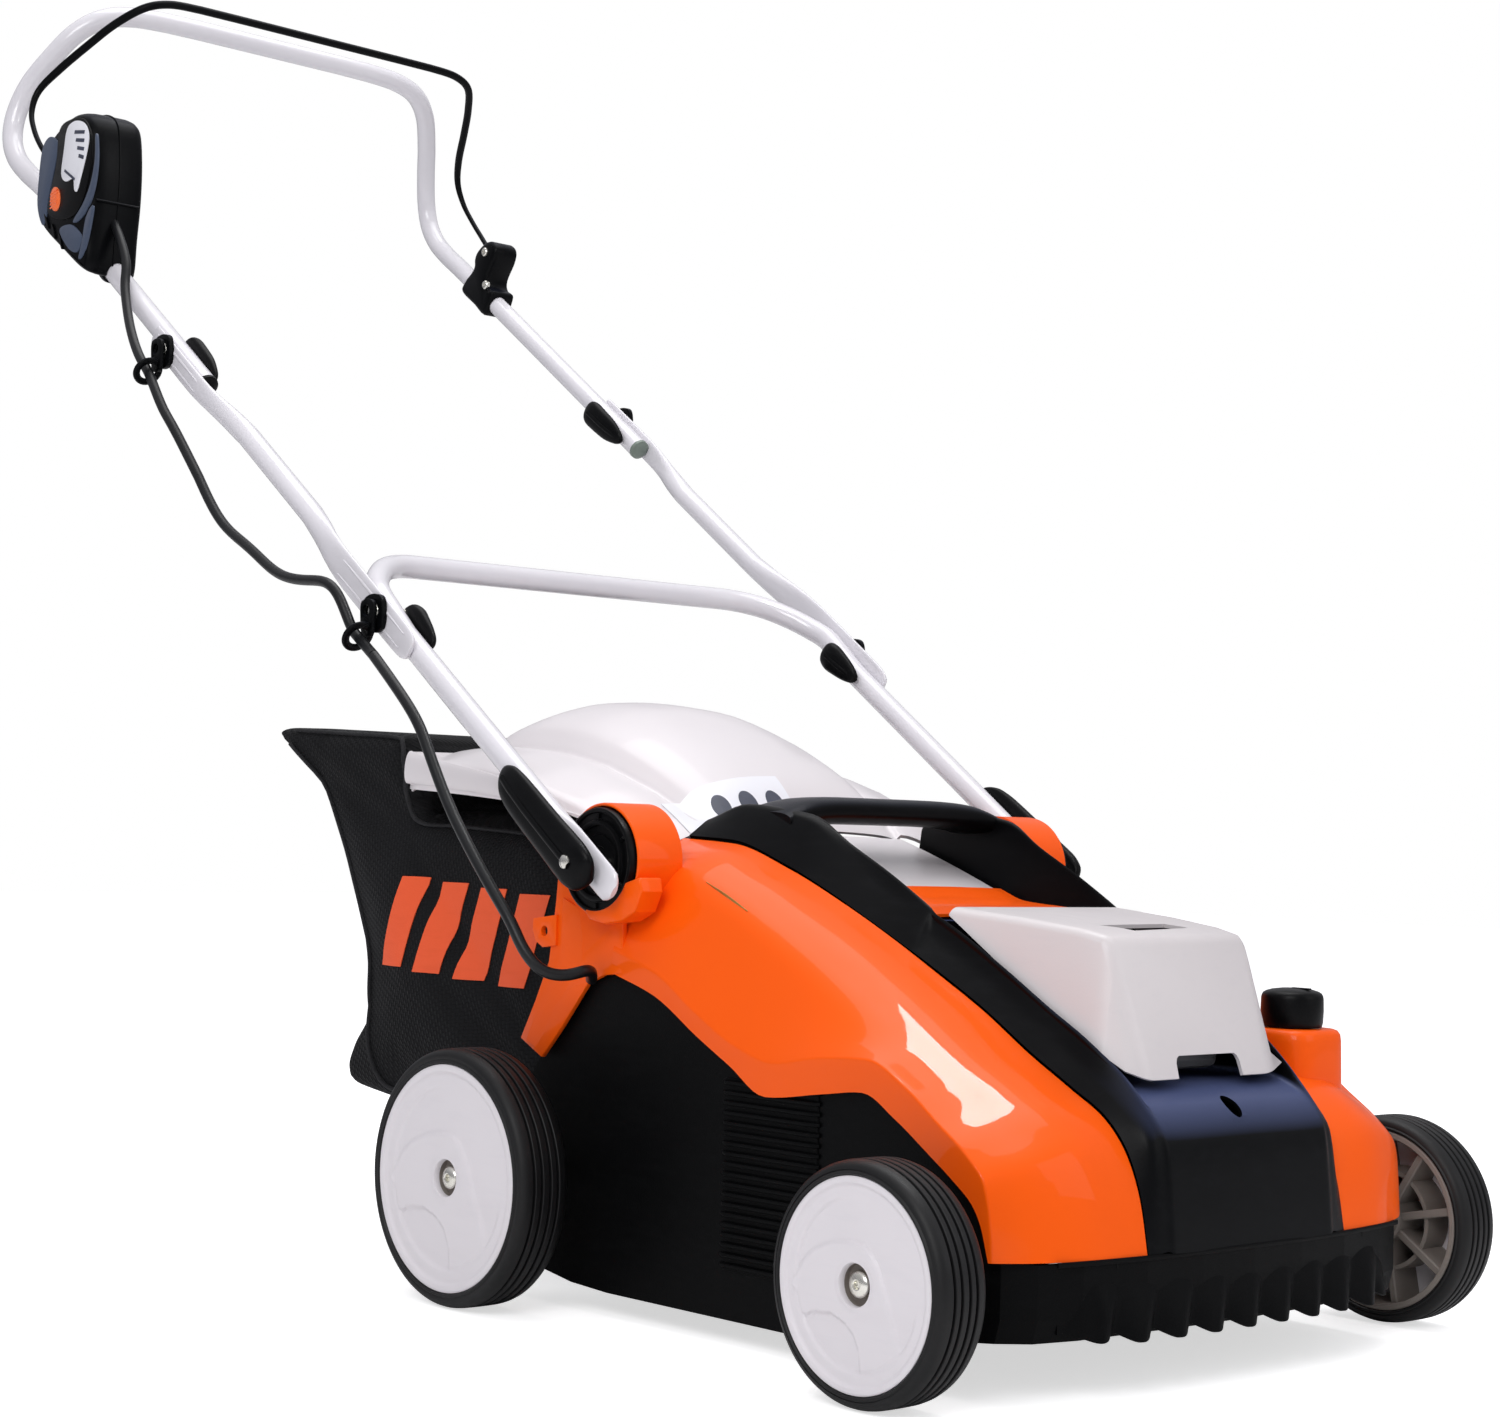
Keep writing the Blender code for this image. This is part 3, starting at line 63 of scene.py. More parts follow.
class Shader:
    """Short way to write the node tree of a material or a world."""

    def __init__(self, owner):
        owner.use_nodes = True
        self.owner = owner
        self.tree = owner.node_tree
        self.coord = self.tree.nodes.new("ShaderNodeTexCoord")

    def feed(self, socket, value):
        """Links an output to a socket, or sets its number, vector or colour."""
        if isinstance(value, bpy.types.NodeSocket):
            self.tree.links.new(value, socket)
        elif isinstance(value, tuple) and len(value) == 3 and len(socket.default_value) == 4:
            socket.default_value = (*value, 1)
        else:
            socket.default_value = value

    def node(self, kind, inputs=None, **settings):
        node = self.tree.nodes.new(kind)
        for key, value in settings.items():
            setattr(node, key, value)
        for key, value in (inputs or {}).items():
            if value is not None:
                self.feed(node.inputs[key], value)
        return node

    def mapping(self, scale=(1, 1, 1), turn=(0, 0, 0)):
        inputs = {"Scale": scale, "Rotation": turn, "Vector": self.coord.outputs["Object"]}
        return self.node("ShaderNodeMapping", inputs).outputs["Vector"]

    def noise(self, scale, detail=3.0, roughness=0.5, vector=None):
        inputs = {"Scale": scale, "Detail": detail, "Roughness": roughness,
                  "Vector": vector or self.coord.outputs["Object"]}
        return self.node("ShaderNodeTexNoise", inputs).outputs["Fac"]

    def voronoi(self, scale):
        inputs = {"Scale": scale, "Vector": self.coord.outputs["Object"]}
        return self.node("ShaderNodeTexVoronoi", inputs).outputs["Distance"]

    def remap(self, value, to, over=(0.0, 1.0)):
        inputs = {"From Min": over[0], "From Max": over[1], "To Min": to[0], "To Max": to[1],
                  "Value": value}
        return self.node("ShaderNodeMapRange", inputs).outputs["Result"]

    def math(self, operation, *values, clamp=False):
        inputs = dict(enumerate(values))
        return self.node("ShaderNodeMath", inputs, operation=operation, use_clamp=clamp).outputs[0]

    def mix(self, factor, a, b):
        inputs = {0: factor, 6: a, 7: b}
        return self.node("ShaderNodeMix", inputs, data_type="RGBA").outputs[2]

    def xyz(self, vector):
        return self.node("ShaderNodeSeparateXYZ", {"Vector": vector}).outputs

    def bump(self, height, strength, distance, normal=None):
        inputs = {"Strength": strength, "Distance": distance, "Height": height, "Normal": normal}
        return self.node("ShaderNodeBump", inputs).outputs["Normal"]

    def finish(self, **values):
        """Feeds the Principled BSDF and returns the material."""
        for key, value in values.items():
            self.feed(self.tree.nodes["Principled BSDF"].inputs[key.replace("_", " ")], value)
        return self.owner


def new_material(name, display):
    mat = bpy.data.materials.new(name)
    mat.diffuse_color = (*display, 1)
    return Shader(mat)


def gloss_plastic(name, colour, shade, rough, coat, peel=0.1, spec=0.5):
    """Clear-coated plastic; peel is the strength of its slow surface waves."""
    n = new_material(name, colour)
    cloud = n.noise(scale=7.0)
    fine = n.noise(scale=420.0, detail=2.0)
    base = n.mix(n.remap(cloud, to=(0.0, 0.35)), colour, shade)
    dust = n.noise(scale=55.0, detail=5.0, roughness=0.6)
    roughness = n.math("ADD", n.remap(cloud, to=(rough * 0.8, rough * 1.3)),
                       n.remap(dust, to=(0.0, 0.05), over=(0.45, 0.75)), clamp=True)
    normal = n.bump(n.noise(scale=38.0, detail=1.5), strength=peel, distance=0.0006)
    normal = n.bump(fine, strength=0.05, distance=0.0001, normal=normal)
    return n.finish(Base_Color=base, Roughness=roughness, Normal=normal, Coat_Weight=coat,
                    Coat_Roughness=0.025, Specular_IOR_Level=spec)


def grain_plastic(name, colour, light, rough, grain=0.35, cells=1400.0, spec=0.5,
                  painted_sheen=None, band=None):
    """Moulded grain of strength grain and scale cells.

    Faces turned upwards take a painted sheen: their colour is mixed towards a paler bluish one, a
    painted reflection of the room above. A band fades it out over a range of distance from x = 0.
    """
    n = new_material(name, colour)
    cloud = n.noise(scale=9.0, detail=4.0)
    pits = n.voronoi(scale=cells)
    fine = n.noise(scale=cells * 1.6)
    scuff = n.noise(scale=60.0, detail=6.0, roughness=0.65,
                    vector=n.mapping(scale=(1, 0.35, 2.2), turn=(0.4, 0.2, 0.6)))
    base = n.mix(n.remap(scuff, to=(0.0, 0.35), over=(0.52, 0.78)), colour, light)
    base = n.mix(n.remap(cloud, to=(0.0, 0.25)), base, light)
    roughness = n.math("ADD", n.remap(cloud, to=(rough - 0.06, rough + 0.06)),
                       n.remap(scuff, to=(0.0, 0.1), over=(0.5, 0.8)), clamp=True)
    height = n.math("ADD", n.math("MULTIPLY", pits, 0.7), n.math("MULTIPLY", fine, 0.5))
    # Painted sheen: faces turned upwards are mixed towards the sheen colour, standing in for the
    # reflection of the room above.
    if painted_sheen:
        facing = n.xyz(n.node("ShaderNodeNewGeometry").outputs["Normal"])
        sheen_share = n.remap(facing["Z"], to=(0.0, 1.0), over=(0.35, 0.85))
        if band:
            from_middle = n.math("ABSOLUTE", n.xyz(n.coord.outputs["Object"])["X"])
            sheen_share = n.math("MULTIPLY", sheen_share, n.remap(from_middle, to=(1.0, 0.0), over=band))
        base = n.mix(sheen_share, base, painted_sheen)
    return n.finish(Base_Color=base, Roughness=roughness, Specular_IOR_Level=spec,
                    Normal=n.bump(height, strength=grain, distance=0.0003))


def painted_tube(name, colour, shade, rubbed):
    n = new_material(name, colour)
    cloud = n.noise(scale=11.0)
    orange_peel = n.noise(scale=650.0, detail=2.0)
    rub = n.noise(scale=34.0, detail=6.0, roughness=0.7, vector=n.mapping(scale=(1, 1, 3)))
    base = n.mix(n.remap(cloud, to=(0.0, 0.6)), colour, shade)
    base = n.mix(n.remap(rub, to=(0.0, 0.25), over=(0.62, 0.8)), base, rubbed)
    roughness = n.math("ADD", n.remap(cloud, to=(0.14, 0.24)),
                       n.remap(rub, to=(0.0, 0.15), over=(0.55, 0.8)))
    return n.finish(Base_Color=base, Roughness=roughness, Coat_Weight=0.5, Coat_Roughness=0.08,
                    Normal=n.bump(orange_peel, strength=0.06, distance=0.00015))


def metal(name, colour, stain, rough):
    n = new_material(name, colour)
    cloud = n.noise(scale=90.0, detail=5.0, roughness=0.6)
    fine = n.noise(scale=1200.0, vector=n.mapping(scale=(1, 1, 6)))
    base = n.mix(n.remap(cloud, to=(0.0, 0.8), over=(0.3, 0.75)), colour, stain)
    roughness = n.remap(cloud, to=(rough * 0.7, rough * 1.4), over=(0.3, 0.7))
    return n.finish(Metallic=1.0, Base_Color=base, Roughness=roughness,
                    Normal=n.bump(fine, strength=0.1, distance=0.0001))


def rubber(name, colour, light, rough):
    n = new_material(name, colour)
    cloud = n.noise(scale=26.0, detail=5.0, roughness=0.6)
    fine = n.noise(scale=1900.0)
    dust = n.noise(scale=140.0, detail=6.0, roughness=0.7)
    base = n.mix(n.remap(dust, to=(0.0, 0.3), over=(0.5, 0.78)), colour, light)
    roughness = n.remap(cloud, to=(rough - 0.1, rough + 0.12))
    return n.finish(Base_Color=base, Roughness=roughness, Specular_IOR_Level=0.3,
                    Normal=n.bump(fine, strength=0.18, distance=0.0002))


def woven(name, colour, light, threads, depth):
    """Black basket weave in object space, so it needs no UVs."""
    n = new_material(name, colour)
    place = n.xyz(n.mapping(turn=(math.radians(17), 0, 0)))

    def wave(axis):
        # X is added in so that the weave also crosses faces turned to the front and rear.
        across = n.math("ADD", place[axis], n.math("MULTIPLY", place["X"], 0.7))
        return n.math("SINE", n.math("MULTIPLY", across, threads * math.tau / 2))

    a, b = wave("Y"), wave("Z")
    over = n.math("MULTIPLY", a, b)
    warp = n.math("ABSOLUTE", a)
    weft = n.math("ABSOLUTE", b)
    pick = n.math("GREATER_THAN", over, 0.0)
    height = n.math("ADD", n.math("MULTIPLY", warp, pick),
                    n.math("MULTIPLY", weft, n.math("SUBTRACT", 1.0, pick)))
    cloud = n.noise(scale=14.0, detail=4.0)
    lint = n.noise(scale=900.0, detail=4.0, roughness=0.7)
    base = n.mix(n.math("MULTIPLY", height, 0.55), colour, light)
    base = n.mix(n.remap(cloud, to=(0.0, 0.35), over=(0.35, 0.75)), base, light)
    normal = n.bump(height, strength=0.75, distance=depth)
    slack = n.noise(scale=30.0, detail=4.0, roughness=0.6)
    normal = n.bump(slack, strength=0.25, distance=0.0015, normal=normal)
    return n.finish(Base_Color=base, Roughness=n.remap(lint, to=(0.55, 0.85)), Normal=normal,
                    Sheen_Weight=0.02, Sheen_Roughness=0.4, Specular_IOR_Level=0.14)


ORANGE = gloss_plastic("orange_gloss", (0.95, 0.11, 0.002), (0.86, 0.08, 0.002),
                       rough=0.4, coat=0.22, peel=0.05, spec=0.08)
BLACK = grain_plastic("black_grain", (0.0016, 0.0017, 0.002), (0.0055, 0.006, 0.007),
                      rough=0.32, grain=0.25, spec=0.11)
# Black satin and black nose plastics get a painted bluish sheen on faces turned upwards, a painted
# reflection; on the nose it stays near the middle.
BLACK_SATIN = grain_plastic("black_satin", (0.0016, 0.0018, 0.0022), (0.0055, 0.006, 0.0075),
                            rough=0.32, grain=0.15, cells=1800.0, spec=0.08,
                            painted_sheen=(0.007, 0.008, 0.013))
BLACK_NOSE = grain_plastic("black_nose", (0.0015, 0.0017, 0.0021), (0.0055, 0.0062, 0.008),
                           rough=0.35, grain=0.15, cells=1800.0, spec=0.09,
                           painted_sheen=(0.06, 0.077, 0.165), band=(0.08, 0.094))
BLACK_HOUSING = grain_plastic("black_housing", (0.0015, 0.0016, 0.0018),
                              (0.0055, 0.0058, 0.0064),
                              rough=0.44, grain=0.45, cells=1100.0, spec=0.06)
WHITE = grain_plastic("white_plastic", (0.64, 0.6, 0.605), (0.58, 0.55, 0.565),
                      rough=0.36, grain=0.12, cells=900.0, spec=0.35)
WHITE_GLOSS = gloss_plastic("white_gloss", (0.74, 0.7, 0.715), (0.68, 0.65, 0.675),
                            rough=0.32, coat=0.2, peel=0.04, spec=0.35)
WHEEL_WHITE = grain_plastic("wheel_white", (0.71, 0.68, 0.705), (0.64, 0.615, 0.65),
                            rough=0.38, grain=0.1, cells=1000.0, spec=0.35)
# Dark grey-brown for the cores behind the wheel faces: painted shade, standing for the white wheel
# plastic in shadow.
WHEEL_INNER_SHADE = grain_plastic("wheel_inner_painted_shade", (0.2, 0.175, 0.155), (0.3, 0.27, 0.25),
                          rough=0.5, grain=0.2, cells=900.0, spec=0.3)
TUBE = painted_tube("tube_paint", (0.74, 0.72, 0.755), (0.66, 0.645, 0.69),
                    rubbed=(0.45, 0.44, 0.42))
TYRE = rubber("tyre_rubber", (0.0035, 0.0035, 0.004), (0.012, 0.012, 0.0135), rough=0.5)
CABLE = rubber("cable_sheath", (0.006, 0.0065, 0.0075), (0.018, 0.019, 0.022), rough=0.36)
BELT = rubber("belt_rubber", (0.01, 0.01, 0.01), (0.04, 0.04, 0.04), rough=0.7)
ZINC = metal("zinc_steel", (0.8, 0.79, 0.74), (0.62, 0.6, 0.52), rough=0.24)
SPRING = metal("spring_steel", (0.34, 0.33, 0.32), (0.2, 0.18, 0.16), rough=0.36)
FABRIC = woven("bag_fabric", (0.0013, 0.0013, 0.0016), (0.0096, 0.0099, 0.0114),
               threads=330.0, depth=0.0007)
GREY = grain_plastic("battery_case", (0.085, 0.087, 0.092), (0.14, 0.142, 0.15), rough=0.5)
BINDING = woven("bag_binding", (0.01, 0.01, 0.011), (0.04, 0.04, 0.043),
                threads=700.0, depth=0.0002)
PRINT = grain_plastic("bag_print", (0.86, 0.1, 0.02), (0.7, 0.08, 0.02),
                      rough=0.6, grain=0.5, cells=700.0)
# Gold metal for the slot on the right cover: a painted highlight along the crease.
SLOT_HIGHLIGHT = metal("slot_painted_highlight", (0.62, 0.4, 0.12), (0.35, 0.2, 0.05), rough=0.4)
BLUE_GREY = grain_plastic("blue_grey", (0.052, 0.07, 0.112), (0.085, 0.105, 0.16),
                          rough=0.34, grain=0.12, cells=1600.0, spec=0.3)
LABEL = gloss_plastic("label_white", (0.84, 0.84, 0.88), (0.7, 0.71, 0.8), rough=0.3, coat=0.2)
INK = grain_plastic("label_ink", (0.03, 0.035, 0.06), (0.09, 0.1, 0.16), rough=0.5, grain=0.1)
ORANGE_KEY = gloss_plastic("key_orange", (0.92, 0.16, 0.03), (0.8, 0.12, 0.03),
                           rough=0.35, coat=0.2)
PLUG = grain_plastic("tube_plug", (0.16, 0.2, 0.17), (0.26, 0.3, 0.26), rough=0.35, grain=0.1)

# The CAD pieces take materials too. Tyres, rims, bolts and levers go by their names.
CAD_MATERIALS = (
    (BLACK_HOUSING, "deck_housing"),
    (ORANGE, "side_cover_right side_cover_left recess_panel safety_button"),
    (BLACK_NOSE, "spine_cover"),
    (WHITE_GLOSS, "hood_panel discharge_flap"),
    (WHITE, "battery_cover"),
    (GREY, "battery_pack"),
    (ZINC, "motor_body reel_bearing_right reel_bearing_left rear_axle front_axle reel_pulley "
           "motor_pulley"),
    (BELT, "drive_belt"),
    (SPRING, "tine_reel"),
    (BLACK, "detent_disc_right detent_disc_left depth_knob bag_frame cable_clip_lower "
            "cable_clip_upper switch_box pivot_box"),
    (BLACK_SATIN, "switch_bail"),
    (CABLE, "cable_lower cable_middle cable_upper"),
    (FABRIC, "catcher_bag"),
    (TUBE, "lower_bar middle_tube_right middle_tube_left upper_bar"),
)
BY_NODE = {node: mat for mat, nodes in CAD_MATERIALS for node in nodes.split()}
for node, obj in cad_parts.items():
    if node.startswith("tyre_"):
        mat = TYRE
    elif node.startswith("rim_"):
        mat = WHEEL_WHITE
    elif "bolt" in node:
        mat = ZINC
    elif "lever" in node:
        mat = BLACK
    else:
        mat = BY_NODE[node]
    obj.data.materials.clear()
    obj.data.materials.append(mat)

# ================================================================ curves


def smooth(stations, per):
    """Monotone cubic through rows of points, so nothing overshoots."""
    p = np.asarray(stations, float)
    chords = [max(1e-6, float(np.sqrt((d ** 2).sum(-1)).mean())) for d in np.diff(p, axis=0)]
    t = np.concatenate([[0.0], np.cumsum(chords)])
    h = np.diff(t).reshape((-1,) + (1,) * (p.ndim - 1))
    delta = np.diff(p, axis=0) / h
    slope = np.zeros_like(p)
    w1, w2 = 2 * h[1:] + h[:-1], h[1:] + 2 * h[:-1]
    same = delta[:-1] * delta[1:] > 0
    safe0, safe1 = np.where(same, delta[:-1], 1.0), np.where(same, delta[1:], 1.0)
    slope[1:-1] = np.where(same, (w1 + w2) / (w1 / safe0 + w2 / safe1), 0.0)
    slope[0], slope[-1] = delta[0], delta[-1]
    out = []
    for i in range(len(p) - 1):
        for k in range(per):
            s = k / per
            out.append((1 + 2 * s) * (1 - s) ** 2 * p[i] + s * (1 - s) ** 2 * h[i] * slope[i]
                       + s * s * (3 - 2 * s) * p[i + 1] + s * s * (s - 1) * h[i] * slope[i + 1])
    out.append(p[-1])
    return np.array(out)


def smooth_table(rows, per):
    """The same for a table whose rows are single stations."""
    return smooth(np.array(rows)[:, None, :], per)[:, 0, :]


def catmull_point(p0, p1, p2, p3, t):
    return 0.5 * ((2 * p1) + (p2 - p0) * t + (2 * p0 - 5 * p1 + 4 * p2 - p3) * t * t
                  + (3 * p1 - p0 - 3 * p2 + p3) * t ** 3)


def catmull(points, per):
    """A smooth open path through the points."""
    pts = [Vector(p) for p in points]
    last = len(pts) - 1
    out = [catmull_point(pts[max(i - 1, 0)], pts[i], pts[i + 1], pts[min(i + 2, last)], k / per)
           for i in range(last) for k in range(per)]
    return out + [pts[-1]]


def round_loop(points, per=5):
    """A smooth closed 2D loop through the points."""
    pts = [Vector((*p, 0)) for p in points]
    n = len(pts)
    out = [catmull_point(pts[i - 1], pts[i], pts[(i + 1) % n], pts[(i + 2) % n], k / per)
           for i in range(n) for k in range(per)]
    return [(p.x, p.y) for p in out]


def fillet(row, radii, seg, mid):
    """Straight runs between the points, with a rounded corner at each inner point."""
    row = [np.array(p, float) for p in row]
    out = [row[0]]

    def straight_to(end):
        start = out[-1]
        out.extend(start + (end - start) * k / mid for k in range(1, mid))

    for a, p, b, radius in zip(row, row[1:], row[2:], radii[1:]):
        before, after = np.linalg.norm(p - a), np.linalg.norm(b - p)
        r = min(radius, 0.45 * before, 0.45 * after)
        s, e = p + (a - p) / before * r, p + (b - p) / after * r
        straight_to(s)
        for k in range(seg + 1):
            t = k / seg
            out.append((1 - t) ** 2 * s + 2 * t * (1 - t) * p + t * t * e)
    straight_to(row[-1])
    out.append(row[-1])
    return np.array(out)


def inset(points, distance):
    """A closed 2D outline moved inwards."""
    out = []
    n = len(points)
    area = sum(points[i][0] * points[(i + 1) % n][1] - points[(i + 1) % n][0] * points[i][1]
               for i in range(n))
    turn = 1 if area > 0 else -1
    for i in range(n):
        a, p, b = Vector(points[i - 1]), Vector(points[i]), Vector(points[(i + 1) % n])
        e1, e2 = (p - a).normalized(), (b - p).normalized()
        n1, n2 = Vector((-e1.y, e1.x)) * turn, Vector((-e2.y, e2.x)) * turn
        m = n1 + n2
        m = m / max(0.35, m.length ** 2 / 2) if m.length > 1e-6 else n1
        out.append(tuple(p + m * distance))
    return out


def turns(n):
    return [math.tau * k / n for k in range(n)]


def arc(y, z, r, n, start, end):
    """n + 1 points on an arc between two angles in degrees."""
    a0, a1 = math.radians(start), math.radians(end)
    angles = [a0 + (a1 - a0) * k / n for k in range(n + 1)]
    return [(y + r * math.cos(a), z + r * math.sin(a)) for a in angles]


def circle(r, n, y=0, z=0):
    return [(y + r * math.cos(a), z + r * math.sin(a)) for a in turns(n)]


def bulge(value, power):
    return math.copysign(abs(value) ** power, value)


def oval(half_u, half_v, sides, power_u=1.0, power_v=None):
    """A superellipse. Powers under 1 make it squarer."""
    power_v = power_v or power_u
    return [(half_u * bulge(math.cos(a), power_u), half_v * bulge(math.sin(a), power_v))
            for a in turns(sides)]


def step(x, low, high):
    t = np.clip((x - low) / (high - low), 0, 1)
    return t * t * (3 - 2 * t)


def ease(x, low, high):
    return float(step(x, low, high))


def inside_distance(points, poly):
    """Signed distance to a closed polygon, positive inside."""
    poly = np.asarray(poly, float)
    best = np.full(len(points), 1e9)
    inside = np.zeros(len(points), bool)
    for a, b in zip(poly, np.roll(poly, -1, axis=0)):
        e = b - a
        t = np.clip(((points - a) @ e) / max(e @ e, 1e-12), 0, 1)
        best = np.minimum(best, np.linalg.norm(points - (a + t[:, None] * e), axis=1))
        crosses = (a[1] > points[:, 1]) != (b[1] > points[:, 1])
        with np.errstate(divide="ignore", invalid="ignore"):
            xs = (b[0] - a[0]) * (points[:, 1] - a[1]) / (b[1] - a[1]) + a[0]
        inside ^= crosses & (points[:, 0] < xs)
    return np.where(inside, best, -best)


# ================================================================ meshes
IDENTITY = Matrix.Identity(4)
MIRROR = Matrix.Scale(-1, 4, (1, 0, 0))
RIGHT = Matrix.Rotation(-math.pi / 2, 4, "Y")     # turns local +Z to -X
LEFT = Matrix.Rotation(math.pi / 2, 4, "Y")       # turns local +Z to +X
SIDES = (("right", -1), ("left", 1))              # tag and sign of X
FROM_LEFT = {"right": MIRROR, "left": IDENTITY}   # for pieces modelled on the left
FROM_RIGHT = {"right": IDENTITY, "left": MIRROR}  # for pieces modelled on the right


def at(x, y, z, turn=IDENTITY):
    return Matrix.Translation((x, y, z)) @ turn


def shade(mesh, angle=32):
    mesh.shade_smooth()
    mesh.set_sharp_from_angle(angle=math.radians(angle))
    return mesh


def mesh_from(bm):
    mesh = bpy.data.meshes.new("part")
    bm.to_mesh(mesh)
    bm.free()
    return mesh


def to_mesh(bm, angle=32):
    bmesh.ops.recalc_face_normals(bm, faces=bm.faces[:])
    return shade(mesh_from(bm), angle)


def grid_bm(grid, wrap=False):
    """Quads between rows of points. Wrapped rows are rings, and get caps at both ends."""
    bm = bmesh.new()
    rows = [[bm.verts.new(p) for p in row] for row in grid]
    for a, b in zip(rows, rows[1:]):
        n = len(a)
        for i in range(n if wrap else n - 1):
            j = (i + 1) % n
            bm.faces.new((a[i], a[j], b[j], b[i]))
    if wrap:
        bm.faces.new(rows[0])
        bm.faces.new(rows[-1])
    return bm


def loft(rings, angle=32):
    return to_mesh(grid_bm(rings, wrap=True), angle)


def applied(mesh, *mods):
    """The mesh with modifiers applied: each is (type, settings)."""
    obj = bpy.data.objects.new("tmp", mesh)
    bpy.context.scene.collection.objects.link(obj)
    for kind, values in mods:
        mod = obj.modifiers.new("m", kind)
        for key, value in values.items():
            setattr(mod, key, value)
    bpy.context.view_layer.update()
    done = evaluated(obj)
    bpy.data.objects.remove(obj, do_unlink=True)
    return done


def evaluated(obj):
    graph = bpy.context.evaluated_depsgraph_get()
    return bpy.data.meshes.new_from_object(obj.evaluated_get(graph))


def cut(mesh, other):
    tool = bpy.data.objects.new("tool", other)
    bpy.context.scene.collection.objects.link(tool)
    settings = {"object": tool, "operation": "DIFFERENCE", "solver": "EXACT"}
    done = applied(mesh, ("BOOLEAN", settings))
    bpy.data.objects.remove(tool, do_unlink=True)
    return done


def sheet(grid, inner):
    """A sheet through a grid of points, facing away from the inner point."""
    bm = grid_bm(grid)
    bmesh.ops.recalc_face_normals(bm, faces=bm.faces[:])
    inner = Vector(inner)
    if sum((f.calc_center_median() - inner).dot(f.normal) * f.calc_area() for f in bm.faces) < 0:
        bmesh.ops.reverse_faces(bm, faces=bm.faces[:])
    return mesh_from(bm)


def inward(thickness):
    return "SOLIDIFY", {"thickness": thickness, "offset": -1.0, "use_even_offset": True}


def shell(grid, thickness, inner, angle=32):
    """A sheet with its thickness to the inside."""
    return shade(applied(sheet(grid, inner), inward(thickness)), angle)


def moved(mesh, matrix):
    mesh.transform(matrix)
    if matrix.determinant() < 0:
        mesh.flip_normals()
    return mesh


def joined(*meshes, angle=32):
    bm = bmesh.new()
    for mesh in meshes:
        bm.from_mesh(mesh)
    return shade(mesh_from(bm), angle)


def revolve(profile, steps):
    """A solid turned about Z from points (radius, height).

    The profile starts and ends on the axis, or is a closed loop off it.
    """
    bm = bmesh.new()
    rows = [[bm.verts.new((r * math.cos(a), r * math.sin(a), z)) for r, z in profile]
            for a in turns(steps)]
    n = len(profile)
    on_axis = abs(profile[0][0]) < 1e-9
    for k in range(steps):
        a, b = rows[k], rows[(k + 1) % steps]
        for i in range(n - 1 if on_axis else n):
            bm.faces.new((a[i], a[(i + 1) % n], b[(i + 1) % n], b[i]))
    bmesh.ops.remove_doubles(bm, verts=bm.verts, dist=1e-7)
    bmesh.ops.dissolve_degenerate(bm, edges=bm.edges, dist=1e-8)
    return to_mesh(bm)


def plate(points, depth, hole=None, edge=0.0, seg=2, turn=True):
    """A flat outline extruded evenly about 0, with its edges rounded by a bevel.

    With turn its X and Y become machine Y and Z, and it is thick along X.
    """
    curve = bpy.data.curves.new("c", "CURVE")
    curve.dimensions = "2D"
    curve.fill_mode = "BOTH"
    curve.extrude = depth / 2
    for loop in (points, hole) if hole else (points,):
        spline = curve.splines.new("POLY")
        spline.points.add(len(loop) - 1)
        for point, (x, y) in zip(spline.points, loop):
            point.co = (x, y, 0, 1)
        spline.use_cyclic_u = True
    obj = bpy.data.objects.new("c", curve)
    bpy.context.scene.collection.objects.link(obj)
    flat = evaluated(obj)
    bpy.data.objects.remove(obj, do_unlink=True)
    bm = bmesh.new()
    bm.from_mesh(flat)
    bmesh.ops.remove_doubles(bm, verts=bm.verts, dist=1e-5)
    bmesh.ops.dissolve_limit(bm, angle_limit=math.radians(0.5), verts=bm.verts, edges=bm.edges)
    mesh = to_mesh(bm)
    if edge:
        mesh = applied(mesh, ("BEVEL", {"width": edge, "segments": seg, "limit_method": "ANGLE",
                                        "angle_limit": math.radians(50)}))
    if turn:
        mesh.transform(Matrix(((0, 0, 1, 0), (1, 0, 0, 0), (0, 1, 0, 0), (0, 0, 0, 1))))
    return shade(mesh)


def block(low, high, edge, seg):
    """A rounded block between two corners."""
    bm = bmesh.new()
    bmesh.ops.create_cube(bm, size=1.0)
    low, high = Vector(low), Vector(high)
    bmesh.ops.scale(bm, vec=high - low, verts=bm.verts)
    bmesh.ops.translate(bm, vec=(low + high) / 2, verts=bm.verts)
    bmesh.ops.bevel(bm, geom=bm.edges[:], offset=edge, segments=seg, profile=0.5,
                    affect="EDGES")
    return to_mesh(bm)


def sweep(path, size, sides=24, power=1.0, up=(1, 0, 0)):
    """A closed tube along a path.

    size is a radius, a pair of half widths (along `up`, then across it), or a function of
    the station's index and its share of the way that returns either.
    """
    pts = [Vector(p) for p in path]
    last = len(pts) - 1
    u = Vector(up)
    rings = []
    for i, p in enumerate(pts):
        tangent = (pts[min(i + 1, last)] - pts[max(i - 1, 0)]).normalized()
        u = (u - tangent * u.dot(tangent)).normalized()
        v = tangent.cross(u)
        s = size(i, i / last) if callable(size) else size
        half_u, half_v = s if isinstance(s, tuple) else (s, s)
        rings.append([p + u * half_u * c + v * half_v * d
                      for c, d in oval(1.0, 1.0, sides, power)])
    return loft(rings)


